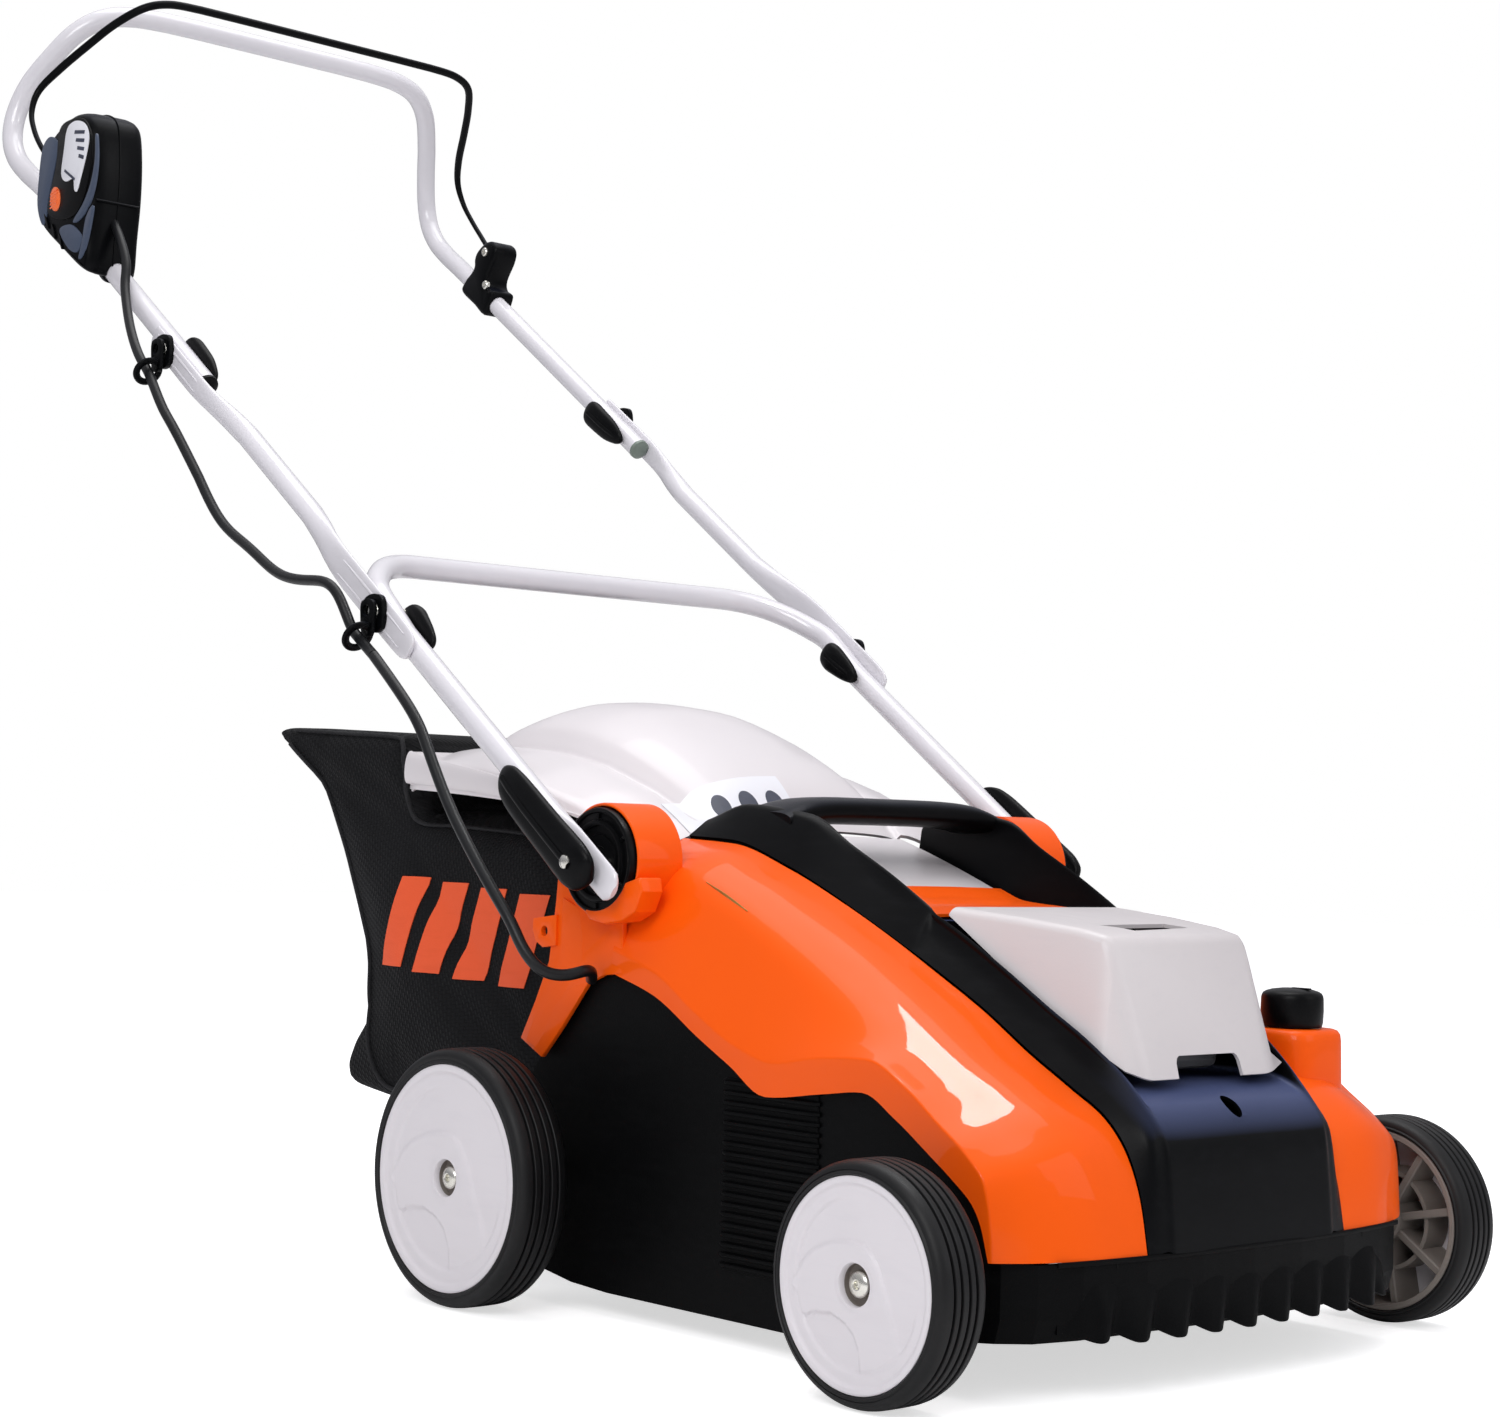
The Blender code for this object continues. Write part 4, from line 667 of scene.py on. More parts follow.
def piece(name, mesh, mat, body, *nodes, ride=True):
    """Puts a mesh from the machine's frame into the scene, in place of the CAD nodes named."""
    mesh.transform(Matrix.Translation(TO_WORLD))
    mesh.materials.clear()
    mesh.materials.append(mat)
    mesh.name = name
    obj = bpy.data.objects.new(name, mesh)
    bpy.context.scene.collection.objects.link(obj)
    if ride:
        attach(obj, body)
    if nodes:
        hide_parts(*nodes)
    return obj


def surface_of(obj):
    """A search tree over a piece's surface, back in the machine's frame."""
    bm = bmesh.new()
    bm.from_mesh(moved(obj.data.copy(), Matrix.Translation(-TO_WORLD)))
    tree = BVHTree.FromBMesh(bm)
    bm.free()
    return tree


def seen(tree, point, lift):
    """Where the line from the eye through a point meets a surface."""
    ray = (Vector(point) - EYE).normalized()
    hit, normal, _, _ = tree.ray_cast(EYE, ray)
    if hit is None:
        return Vector(point)
    if normal.dot(ray) > 0:
        normal = -normal
    return hit + normal * lift


# ================================================================ wheels
WHEEL_OUT = 0.28      # outer face of the wheels from the middle plane
# End, axle y, tyre radius, width, depth of the tyre outside the disc.
WHEELS = (("front", 0.0, 0.0732, 0.041, 0.0095), ("rear", 0.408, 0.09, 0.043, 0.0112))
DISC_GAP = 0.0003
# Reliefs on the disc as outlines in disc radii: first towards the front, then up.
SWOOSH = [(-0.84, -0.1), (-0.78, 0.06), (-0.7, 0.17), (-0.57, 0.27), (-0.33, 0.365),
          (-0.066, 0.4), (0.1, 0.385), (0.22, 0.31), (0.31, 0.2), (0.38, 0.06),
          (0.46, -0.135), (0.54, -0.36), (0.6, -0.55)]
SMALL = [(-0.72, -0.37), (-0.53, -0.31), (-0.33, -0.295), (-0.15, -0.35), (-0.02, -0.45),
         (0.06, -0.6), (0.08, -0.79)]
for outline, first, last in ((SWOOSH, -48, -171), (SMALL, -90, -153)):
    for degrees in range(first, last, -6):
        a = math.radians(degrees)
        outline.append((0.8 * math.cos(a), 0.8 * math.sin(a)))


def wheel_face(radius, w):
    """The outer face of the disc: raised rim, dished ring, curved reliefs and hub lip."""
    hub_radii = [r / radius for r in (0.0126, 0.0132, 0.0138, 0.015, 0.016)]
    rho = np.concatenate([hub_radii, np.linspace(0.28, 0.76, 26), np.linspace(0.775, 0.85, 6),
                          np.linspace(0.87, 0.905, 3), np.linspace(0.92, 0.985, 8), [1.0]])
    steps = 192
    rr, tt = np.meshgrid(rho, np.arange(steps) * math.tau / steps, indexing="ij")
    u, v = rr * np.cos(tt), rr * np.sin(tt)      # u towards the front, v up
    flat = np.stack([u.ravel(), v.ravel()], 1)
    island = step(inside_distance(flat, SWOOSH), -0.012, 0.022).reshape(u.shape)
    small = step(inside_distance(flat, SMALL), -0.004, 0.018).reshape(u.shape)
    fade = 1 - step(u + 0.35 * v, -0.25, 0.35)
    low = 1 - step(v, -0.35, -0.1)
    dish = (1 - step(rr, 0.785, 0.82)) * np.maximum(fade, low)
    z = w - 0.0026 - 0.0018 * dish + 0.0019 * island - 0.0021 * small
    lip = step(rr, 0.905, 0.945)
    z = z * (1 - lip) + (w - 0.0006) * lip
    z = np.where(rr > 0.985, w - 0.0012, z)
    r_abs = rr * radius
    hub = 1 - step(r_abs, 0.014, 0.0165)
    z = z * (1 - hub) + (w - 0.0017) * hub
    z = np.where(r_abs < 0.013, w - 0.0028, z)
    bm = bmesh.new()

    def ring(i, heights):
        return [bm.verts.new((v[i, k] * radius, -u[i, k] * radius, heights[k]))
                for k in range(steps)]

    face = [ring(i, z[i]) for i in range(len(rho))]
    back_inner, back_outer = [ring(i, [w - 0.006] * steps) for i in (0, len(rho) - 1)]
    rows = [back_inner] + face + [back_outer, back_inner]
    for a, b in zip(rows, rows[1:]):
        for k in range(steps):
            j = (k + 1) % steps
            bm.faces.new((a[k], a[j], b[j], b[k]))
    return to_mesh(bm, 40)


def wheel_core(d, w):
    """Barrel, hub tube, ring and ribs behind the face; d is the disc radius."""
    barrel = revolve([(d, w - 0.002), (d, 0.0012 - w), (d - 0.0008, 0.0006 - w),
                      (d - 0.0035, 0.0006 - w), (d - 0.0045, 0.0016 - w),
                      (d - 0.005, w - 0.0055), (d - 0.003, w - 0.004)], 96)
    hub = revolve([(0.0128, w - 0.003), (0.0128, w - 0.0096), (0.0058, w - 0.0098),
                   (0.0058, 0.005 - w), (0.0145, 0.005 - w), (0.0155, 0.006 - w),
                   (0.0165, w - 0.006), (0.0155, w - 0.003)], 48)
    ribs = []
    for k in range(8):
        rib = block((0.015, -0.0028, 0.006 - w), (d - 0.0035, 0.0028, w - 0.0055), 0.0008, 1)
        for vert in rib.vertices:
            if vert.co.z < 0 and vert.co.x < 0.5 * d:
                vert.co.z += 0.002
        ribs.append(moved(rib, Matrix.Rotation(math.tau * k / 8 + 0.2, 4, "Z")))
    inner, outer = 0.55 * d - 0.0015, 0.55 * d + 0.0015
    ring = revolve([(outer, w - 0.0055), (outer, 0.01 - w), (inner, 0.01 - w),
                    (inner, w - 0.0055)], 72)
    return joined(barrel, hub, ring, *ribs)


def tyre(radius, disc, w):
    """Smooth lawn tyre with a bead ring, rounded shoulders and four grooves in the tread."""
    side = [(disc - 0.0001, w - 0.0022), (disc + 0.0004, w - 0.0008), (disc + 0.001, w - 0.0002),
            (disc + 0.0021, w - 0.0002), (disc + 0.0028, w - 0.0009),
            (disc + 0.0034, w - 0.0013), (radius - 0.0058, w - 0.0009),
            (radius - 0.004, w - 0.0014), (radius - 0.0024, w - 0.0026),
            (radius - 0.0012, w - 0.0044), (radius - 0.0005, w - 0.0066)]
    # Across one groove: offset from its middle and depth.
    groove = ((0.0016, 0), (0.0011, 0.0004), (0.0007, 0.0022), (-0.0007, 0.0022),
              (-0.0011, 0.0004), (-0.0016, 0))
    tread = []
    for share in (0.78, 0.28, -0.28, -0.78):
        for offset, depth in groove:
            z = (w - 0.0086) * share + offset
            tread.append((radius - 0.0005 * (z / w) ** 2 - depth, z))
    return revolve(side + tread + [(r, -z) for r, z in reversed(side)], 144)


def wheel_screw(w):
    r, shank, top, end = 0.0084, 0.0053, w - 0.0034, -w - 0.004
    under = top - 0.0056
    return revolve([(0, top - 0.0022), (0.0022, top - 0.0022), (0.0026, top - 0.0004),
                    (0.0034, top), (r * 0.72, top - 0.0005), (r * 0.93, top - 0.0018),
                    (r, top - 0.0032), (r, under), (shank, under), (shank, end), (0, end)], 48)


for tag, sign in SIDES:
    for end, y, radius, width, tyre_depth in WHEELS:
        w = width / 2
        r_true = radius * math.cos(math.pi / 36)   # to the flats of a 36-sided wheel
        disc = radius - tyre_depth - DISC_GAP
        place = FROM_RIGHT[tag] @ at(-(WHEEL_OUT - w), y, r_true, RIGHT)
        name = f"{end}_{tag}"
        body = f"wheel_{name}"
        piece(f"tyre_rubber_{name}", moved(tyre(r_true, disc + 0.0002, w), place), TYRE, body,
              f"tyre_{name}")
        piece(f"wheel_disc_{name}", moved(wheel_face(disc, w), place), WHEEL_WHITE, body,
              f"rim_{name}")
        # The core behind the face takes the painted-shade material, not the white of the face.
        piece(f"wheel_inner_painted_shade_{name}", moved(wheel_core(disc, w - 0.0001), place), WHEEL_INNER_SHADE, body)
        piece(f"wheel_screw_{name}", moved(wheel_screw(w), place), ZINC, body,
              f"wheel_bolt_{name}")

# ================================================================ handle frame
# Joints of the handle on each side, as (y, z).
TILT_PIVOT, LOWER_JOINT, UPPER_JOINT = (0.313, 0.312), (0.56, 0.4935), (0.887, 0.728)
TUBE_R, LEG_X = 0.00925, 0.234
ALONG = Vector((0.0, UPPER_JOINT[0] - LOWER_JOINT[0], UPPER_JOINT[1] - LOWER_JOINT[1]))
MID_LEN = ALONG.length
ALONG.normalize()
ACROSS = Vector((0.0, -ALONG.z, ALONG.y))
CUP = (TILT_PIVOT[0] + 0.007, TILT_PIVOT[1] + 0.001)   # middle of the round cup at the pivot


def leg(joint, along, x, across=0.0):
    """A point beside a joint, measured along and across the handle's slope."""
    p = Vector((x, joint[0], joint[1])) + ALONG * along + ACROSS * across
    return Vector((x, p.y, p.z))


def mirrored(half):
    return half + [Vector((-p.x, p.y, p.z)) for p in reversed(half[:-1])]


# ================================================================ orange side covers
# Left cover from the nose back. Each row runs from the inner top edge to the lower outer edge.
COVER_ROWS = [
    ((0.1, -0.072, 0.085), (0.15, -0.068, 0.085), (0.185, -0.056, 0.085),
     (0.2062, -0.042, 0.085), (0.2074, -0.04, 0.085)),
    ((0.1, -0.066, 0.115), (0.15, -0.064, 0.114), (0.185, -0.0535, 0.112),
     (0.207, -0.04, 0.11), (0.2072, -0.033, 0.106)),
    ((0.1005, -0.055, 0.143), (0.15, -0.056, 0.145), (0.185, -0.048, 0.139),
     (0.2085, -0.036, 0.131), (0.207, -0.025, 0.118)),
    ((0.101, -0.037, 0.164), (0.148, -0.039, 0.166), (0.1855, -0.027, 0.156),
     (0.209, -0.022, 0.1465), (0.207, -0.008, 0.131)),
    ((0.102, -0.008, 0.181), (0.148, -0.008, 0.185), (0.1865, 0.002, 0.172),
     (0.2095, 0.003, 0.164), (0.207, 0.012, 0.144)),
    ((0.105, 0.022, 0.199), (0.15, 0.023, 0.201), (0.1875, 0.028, 0.187),
     (0.2095, 0.031, 0.183), (0.207, 0.04, 0.1615)),
    ((0.108, 0.06, 0.224), (0.152, 0.062, 0.223), (0.188, 0.065, 0.208),
     (0.21, 0.064, 0.197), (0.207, 0.07, 0.1755)),
    ((0.112, 0.098, 0.246), (0.155, 0.101, 0.245), (0.1885, 0.104, 0.23),
     (0.2105, 0.106, 0.1945), (0.2075, 0.105, 0.1715)),
    ((0.116, 0.14, 0.269), (0.158, 0.144, 0.268), (0.189, 0.15, 0.254),
     (0.2105, 0.151, 0.1875), (0.208, 0.158, 0.165)),
    ((0.12, 0.18, 0.289), (0.16, 0.185, 0.287), (0.1895, 0.188, 0.274),
     (0.2105, 0.187, 0.196), (0.208, 0.193, 0.182)),
    ((0.125, 0.23, 0.311), (0.162, 0.229, 0.306), (0.1895, 0.228, 0.292),
     (0.2105, 0.229, 0.216), (0.208, 0.227, 0.199)),
    ((0.13, 0.28, 0.327), (0.162, 0.275, 0.32), (0.188, 0.268, 0.305),
     (0.21, 0.27, 0.239), (0.208, 0.272, 0.223)),
    ((0.131, 0.335, 0.33), (0.162, 0.323, 0.32), (0.188, 0.315, 0.306),
     (0.21, 0.315, 0.252), (0.208, 0.318, 0.236)),
]
COVER_RADII = (0, 0.02, 0.011, 0.0016, 0)
CUP_R = 0.0402
SKIN = 0.0025         # wall of the covers, spine, lid and flap
# Outlines (y, z) of the strut behind the cup, the block under it and the hook at its rear.
STRUT = [(0.306, 0.236), (0.306, 0.273)] + arc(*CUP, CUP_R, 14, -110, -22) + [
    (0.368, 0.299), (0.3755, 0.308), (0.38, 0.302), (0.3815, 0.285), (0.384, 0.265),
    (0.388, 0.24), (0.402, 0.212), (0.418, 0.184), (0.393, 0.172), (0.37, 0.196),
    (0.343, 0.227), (0.325, 0.234)]
BLOCK = [(0.325, 0.269), (0.33, 0.275)] + arc(*CUP, 0.0375, 10, -78, -152) + [
    (0.2714, 0.2997), (0.269, 0.29), (0.276, 0.276), (0.29, 0.269), (0.308, 0.2665)]
HOOK = [(0.378, 0.2735), (0.393, 0.2715), (0.4045, 0.27), (0.405, 0.262), (0.401, 0.254),
        (0.393, 0.25), (0.378, 0.252)]
# Two facets on the strut: rear edge, crest and front edge, from the top down.
CREASE = (((0.381, 0.288), (0.366, 0.284), (0.345, 0.275)),
          ((0.387, 0.24), (0.366, 0.243), (0.335, 0.237)),
          ((0.4165, 0.184), (0.405, 0.182), (0.3935, 0.174)))
CREASE_X = (0.0, 0.0043, 0.0)

cover_grid = [fillet(row, COVER_RADII, 6, 4) for row in smooth(COVER_ROWS, 6)]
for tag, sign in SIDES:
    flip = FROM_LEFT[tag]
    cover = piece(f"cover_{tag}", moved(shell(cover_grid, SKIN, (0, 0.15, 0.05)), flip), ORANGE,
                  "chassis", f"side_cover_{tag}")
    if tag == "right":
        COVER_TREE = surface_of(cover)
    crease = loft([[(x, y, z) for x, (y, z) in zip(CREASE_X, ring)] for ring in CREASE], 20)
    strut = joined(plate(STRUT, 0.0042, edge=0.0009), crease)
    cup = revolve([(CUP_R, 0.0225), (0.0399, 0.0244), (0.039, 0.025), (0.0381, 0.0248),
                   (0.0376, 0.0236), (0.0376, -0.014), (CUP_R, -0.014)], 96)
    foot = plate(BLOCK, 0.02, edge=0.0018, seg=3)
    hook = plate(HOOK, 0.0044, circle(0.0038, 20, 0.3915, 0.2615), edge=0.0006)
    for name, mesh, place in (("strut", strut, at(0.2067, 0, 0)),
                              ("cup", cup, at(0.193, *CUP, LEFT)),
                              ("block", foot, at(0.2135, 0.001, 0.0035)),
                              ("hook", hook, at(0.2085, 0, 0))):
        piece(f"cover_{name}_{tag}", moved(mesh, flip @ place), ORANGE, "chassis")

# Squarish turret under the depth knob on the left cover: height, half width, corner power.
KNOB_X, KNOB_Y = 0.15, 0.01
TURRET = ((0.17, 0.0296, 0.55), (0.202, 0.029, 0.55), (0.2068, 0.0286, 0.57),
          (0.2094, 0.0272, 0.6), (0.2104, 0.025, 0.64))
turret = loft([[(KNOB_X + u, KNOB_Y + v, z) for u, v in oval(half, half, 64, power)]
               for z, half, power in TURRET], 40)
piece("knob_turret", turret, ORANGE, "chassis")

# Thin moulded slot laid on the right cover. The slot is real; its gold metal colour is a painted
# highlight along it.
SLOT_START, SLOT_END = Vector((-0.208, 0.2208, 0.3013)), Vector((-0.208, 0.1793, 0.2837))
slot_path = [seen(COVER_TREE, SLOT_START.lerp(SLOT_END, k / 8), 0.0002) for k in range(9)]


def slot_size(i, t):
    return 0.0004, 0.0011 * math.sin(math.pi * min(max(t, 0.05), 0.95)) + 0.0002


piece("cover_slot_right", sweep(slot_path, slot_size, 10), SLOT_HIGHLIGHT, "chassis")

# ================================================================ spine cover
COVER_GAP = 0.0006    # between the spine's foot and the side cover
# y, floor z, floor half width, crest y, x, z, cover edge x, y, z, and the height of the
# inner wall's top above the crest where it isn't the usual one.
SPINE = (
    (-0.077, 0.085, 0.08, -0.074, 0.092, 0.085, 0.1, -0.0725, 0.085),
    (-0.074, 0.118, 0.08, -0.071, 0.092, 0.118, 0.1, -0.0668, 0.115),
    (-0.07, 0.15, 0.08, -0.066, 0.092, 0.151, 0.1005, -0.056, 0.144),
    (-0.05, 0.174, 0.08, -0.043, 0.0925, 0.173, 0.101, -0.0378, 0.1655, 0.01),
    (-0.015, 0.184, 0.084, -0.012, 0.0935, 0.193, 0.102, -0.0085, 0.1825, 0.0175),
    (0.02, 0.184, 0.086, 0.02, 0.096, 0.214, 0.105, 0.0215, 0.2005, 0.0165),
    (0.06, 0.184, 0.088, 0.06, 0.0975, 0.239, 0.108, 0.0597, 0.2255, 0.016),
    (0.098, 0.184, 0.09, 0.098, 0.099, 0.262, 0.112, 0.0977, 0.2475, 0.0145),
    (0.118, 0.184, 0.091, 0.118, 0.0995, 0.274, 0.114, 0.118, 0.2585, 0.0125),
    (0.123, 0.28, 0.091, 0.123, 0.1, 0.2815, 0.1145, 0.123, 0.261, 0.009),
    (0.16, 0.284, 0.092, 0.16, 0.101, 0.301, 0.118, 0.16, 0.28, 0.011),
    (0.2, 0.287, 0.093, 0.2, 0.102, 0.326, 0.122, 0.1998, 0.2995, 0.006),
    (0.235, 0.289, 0.094, 0.235, 0.106, 0.348, 0.1255, 0.2348, 0.3145, 0.002),
    (0.29, 0.3, 0.096, 0.29, 0.112, 0.356, 0.13, 0.285, 0.33),
    (0.325, 0.32, 0.098, 0.325, 0.116, 0.345, 0.131, 0.33, 0.332),
)
SPINE_RADII = (0, 0.0045, 0.004, 0.004, 0.02, 0.05, 0.02, 0.004, 0.004, 0.0045, 0)


def spine_row(y, floor, x_in, y_crest, x_crest, z_crest, x_foot, y_foot, z_foot, rise=-0.0015):
    wall = (x_in + 0.0035, (y + y_crest) / 2, max(floor + 0.0015, z_crest + rise))
    return ((0.0, y, floor), (x_in * 0.72, y, floor - 0.0005), (x_in, y, floor), wall,
            (x_crest, y_crest, z_crest), (x_foot - COVER_GAP, y_foot, z_foot))


def spine_shell():
    grid = []
    for half in smooth([spine_row(*row) for row in SPINE], 6):
        full = np.concatenate([half[:0:-1] * (-1, 1, 1), half])
        grid.append(fillet(full, SPINE_RADII, 4, 3))
    mesh = shell(grid, SKIN, (0, 0.12, -0.3), 38)
    # Oval hole in the nose, then the opening under the carry handle.
    hole = loft([[(0.0062 * math.cos(a), -0.0565 + 0.013 * math.sin(a) + dy, 0.1705 + dz)
                  for a in turns(32)] for dy, dz in ((-0.012, 0.014), (0.012, -0.014))])
    mesh = cut(mesh, hole)
    mesh = cut(mesh, block((-0.09, 0.208, 0.27), (0.09, 0.316, 0.33), 0.004, 3))
    return shade(mesh, 38)


piece("spine_shell", spine_shell(), BLACK_NOSE, "chassis", "spine_cover")

# ================================================================ carry handle
CARRY_HALF = 0.112
bar = []
for i in range(49):
    x = -CARRY_HALF + 2 * CARRY_HALF * i / 48
    t = abs(x) / CARRY_HALF
    flare = ease(t, 0.7, 1.0)
    y_mid, z_mid = 0.274 - 0.004 * t + 0.004 * flare, 0.3525 - 0.01 * t ** 5
    section = oval(0.0255 + 0.005 * flare, 0.0098 - 0.002 * flare, 40, 0.62, 0.72)
    bar.append([(x, y_mid + u, z_mid + v) for u, v in section])
piece("carry_handle", loft(bar, 50), BLACK_SATIN, "chassis")
ribs = []
for k in range(9):
    path = []
    for j in range(25):
        x = -0.078 + 0.0065 * j
        z = 0.3618 - 0.00016 * (k - 4) ** 2 - 0.013 * (abs(x) / 0.1165) ** 5
        path.append((x, 0.2575 + 0.004 * k - 0.003 * (abs(x) / 0.116), z))
    ribs.append(sweep(path, (0.0006, 0.0009), 8, up=(0, 0, 1)))
piece("carry_handle_ribs", joined(*ribs), BLACK_SATIN, "chassis")


# ================================================================ recess tray and hood
def crowned(half_xs, line, lift, crown, per):
    """Rows across the machine at each (y, z) of a line, arched towards the middle."""
    xs = [-x for x in half_xs] + [0.0] + list(reversed(half_xs))
    return smooth([[(x, y, z + lift + crown * (1 - (x / 0.088) ** 2)) for x in xs]
                   for y, z in line], per)


recess_rows = crowned((0.0885, 0.07, 0.035),
                      ((0.1235, 0.2808), (0.16, 0.284), (0.206, 0.2875), (0.23, 0.2955)),
                      lift=0.0034, crown=0.0012, per=8)
piece("recess_tray", shell(recess_rows, 0.002, (0, 0.15, 0.1)), ORANGE, "chassis",
      "recess_panel")
hood_rows = crowned((0.0885, 0.06, 0.03),
                    ((0.21, 0.288), (0.24, 0.3), (0.28, 0.315), (0.315, 0.327), (0.334, 0.333)),
                    lift=0.0, crown=0.0016, per=6)
piece("hood_skin", shell(hood_rows, 0.002, (0, 0.27, 0.1)), WHITE_GLOSS, "chassis", "hood_panel")

# ================================================================ deck housing detail
# Path of one louvre slat as (x, y), on the left.
SLAT = ((0.202, 0.112), (0.204, 0.115), (0.2046, 0.119), (0.2046, 0.195), (0.204, 0.199),
        (0.202, 0.202))
for tag, sign in SIDES:
    slats = [sweep([(x, y, 0.052 + 0.0066 * k) for x, y in SLAT], (0.0016, 0.0019), 12, 0.8,
                   (0, 0, 1)) for k in range(19)]
    back = block((0.2012, 0.113, 0.048), (0.203, 0.201, 0.174), 0.0006, 1)
    piece(f"side_louvre_{tag}", moved(joined(back, *slats), FROM_LEFT[tag]), BLACK_HOUSING,
          "chassis")

# Lower front edge: slanted flutes that leave a wavy edge, under a thin lip.
BUMPER_Y, BUMPER_TOP = -0.0768, 0.074
rows = []
for r in range(9):
    t = r / 8
    row = []
    for i in range(265):
        x = -0.166 + 0.332 * i / 264
        u = (x + 0.166 - 0.014 * (1 - t)) / 0.0332
        s = u - math.floor(u)
        tooth = math.sin(math.pi * s ** 1.25) ** 1.3
        ends = ease(0.166 - abs(x), 0.0, 0.03)
        edge = 0.0418 - 0.0066 * tooth * ends
        z = BUMPER_TOP + (edge - BUMPER_TOP) * t
        y = BUMPER_Y + 0.0105 * (abs(x) / 0.16) ** 2.6
        flute = (0.0078 * tooth * t ** 0.7 + 0.0008 * t) * ends
        row.append((x, y + 0.0012 + 0.006 * (1 - t) ** 2 + 0.007 * (1 - ends) - flute, z))
    rows.append(row)
lip_path = [(x, BUMPER_Y + 0.011 * (abs(x) / 0.16) ** 2.6, 0.0838)
            for x in (-0.172 + 0.0086 * k for k in range(41))]
lip = sweep(lip_path, (0.0016, 0.0009), 10, 0.8, (0, 0, 1))
piece("bumper_fins", joined(lip, shell(rows, 0.0022, (0, -0.2, 0.06), 30), angle=30),
      BLACK_HOUSING, "chassis")

# ================================================================ battery cover
# Right half of each row from the front back: outer edge and shoulder.
LID = (((-0.08, -0.0345, 0.1925), (-0.062, -0.0395, 0.1865)),
       ((-0.0835, -0.013, 0.204), (-0.07, -0.011, 0.275)),
       ((-0.0858, 0.013, 0.219), (-0.0735, 0.013, 0.28)),
       ((-0.0878, 0.057, 0.248), (-0.08, 0.057, 0.285)),
       ((-0.089, 0.112, 0.284), (-0.0865, 0.112, 0.2895)))
# Notch in the lid's front as (x, z), and the opening in its top as (x, y).
LID_NOTCH = [(-0.0345, 0.165), (0.0345, 0.165), (0.032, 0.196), (0.0305, 0.199),
             (0.028, 0.2005), (-0.028, 0.2005), (-0.0305, 0.199), (-0.032, 0.196)]
LID_OPENING = [(-0.04, 0.008), (-0.026, -0.01), (0.036, -0.004), (0.03, 0.012)]
LATCH_TRAY = [(-0.043, 0.011), (-0.028, -0.013), (0.04, -0.007), (0.033, 0.015)]
SWAP_YZ = Matrix(((1, 0, 0, 0), (0, 0, 1, 0), (0, 1, 0, 0), (0, 0, 0, 1)))

lid = sheet([list(half) + [(-x, y, z) for x, y, z in reversed(half)] for half in LID],
            (0, 0.06, 0.2))
lid = applied(lid, ("BEVEL", {"width": 0.0075, "segments": 6, "limit_method": "ANGLE",
                              "angle_limit": math.radians(14)}), inward(SKIN))
lid = cut(lid, moved(plate(LID_NOTCH, 0.06, turn=False), at(0, -0.045, 0, SWAP_YZ)))
lid = cut(lid, moved(plate(LID_OPENING, 0.03, turn=False), at(0, 0.015, 0.279)))
piece("battery_lid", shade(lid, 38), WHITE, "battery_lid", "battery_cover")
tray = plate(LATCH_TRAY, 0.0016, edge=0.0003, seg=1, turn=False)
piece("lid_latch_tray", moved(tray, at(0, 0.015, 0.2745)), BLACK, "battery_lid")

# ================================================================ depth knob
knob = revolve([(0, 0.0273), (0.008, 0.0272), (0.014, 0.0264), (0.018, 0.0252), (0.02, 0.024),
                (0.021, 0.0222), (0.0214, 0.02), (0.0216, 0.012), (0.0212, 0.004),
                (0.0204, 0.0008), (0, 0.0008)], 144)
pointer = block((-0.0016, -0.015, 0.0268), (0.0016, 0.0, 0.0278), 0.0004, 2)
piece("depth_dial", moved(joined(knob, pointer), at(KNOB_X, KNOB_Y, 0.2105)), BLACK,
      "depth_knob", "depth_knob")

# ================================================================ discharge flap
# y, crown z, half width, shoulder z, edge z. The shoulder only sets the station spacing.
FLAP = (
    (0.342, 0.338, 0.15, 0.333, 0.327), (0.37, 0.372, 0.168, 0.356, 0.337),
    (0.41, 0.399, 0.18, 0.376, 0.347), (0.45, 0.418, 0.186, 0.388, 0.352),
    (0.495, 0.433, 0.19, 0.396, 0.356), (0.54, 0.437, 0.191, 0.4, 0.359),
    (0.58, 0.427, 0.189, 0.396, 0.361), (0.602, 0.41, 0.182, 0.388, 0.362),
    (0.61, 0.376, 0.174, 0.374, 0.363),
)
# Rise of the flat wings along y, as a share.
WING_Y = (0.342, 0.4, 0.45, 0.5, 0.55, 0.6, 0.61)
WING_SHARE = (0.0, 0.5, 0.8, 0.96, 1.02, 1.0, 0.72)
FLAP_INNER = (0, 0.47, 0.24)

rows = []
for y, crown, half, _, edge in smooth_table(FLAP, 6):
    low = 0.3325 + (0.3915 - 0.3325) * float(np.interp(y, WING_Y, WING_SHARE))
    low = min(low, crown - 0.001)
    rise = crown - low
    half_row = [(0.0, crown), (0.2 * half, crown - 0.05 * rise),
                (0.38 * half, crown - 0.22 * rise), (0.52 * half, crown - 0.5 * rise),
                (0.575 * half, crown - 0.8 * rise), (0.6 * half, low + 0.06 * rise),
                (0.64 * half, low + 0.004), (0.9 * half, low - 0.006),
                (half - 0.002, low - 0.012), (half, max(edge, low - 0.017)),
                (half + 0.001, edge)]
    full = [(-x, z) for x, z in reversed(half_row[1:])] + half_row
    rows.append([(x, y, z) for x, z in full])
flap_grid = smooth(np.array(rows).transpose(1, 0, 2), 5).transpose(1, 0, 2)
flap = piece("flap_skin", shell(flap_grid, SKIN, FLAP_INNER, 45), WHITE_GLOSS, "flap",
             "discharge_flap")
FLAP_TREE = surface_of(flap)


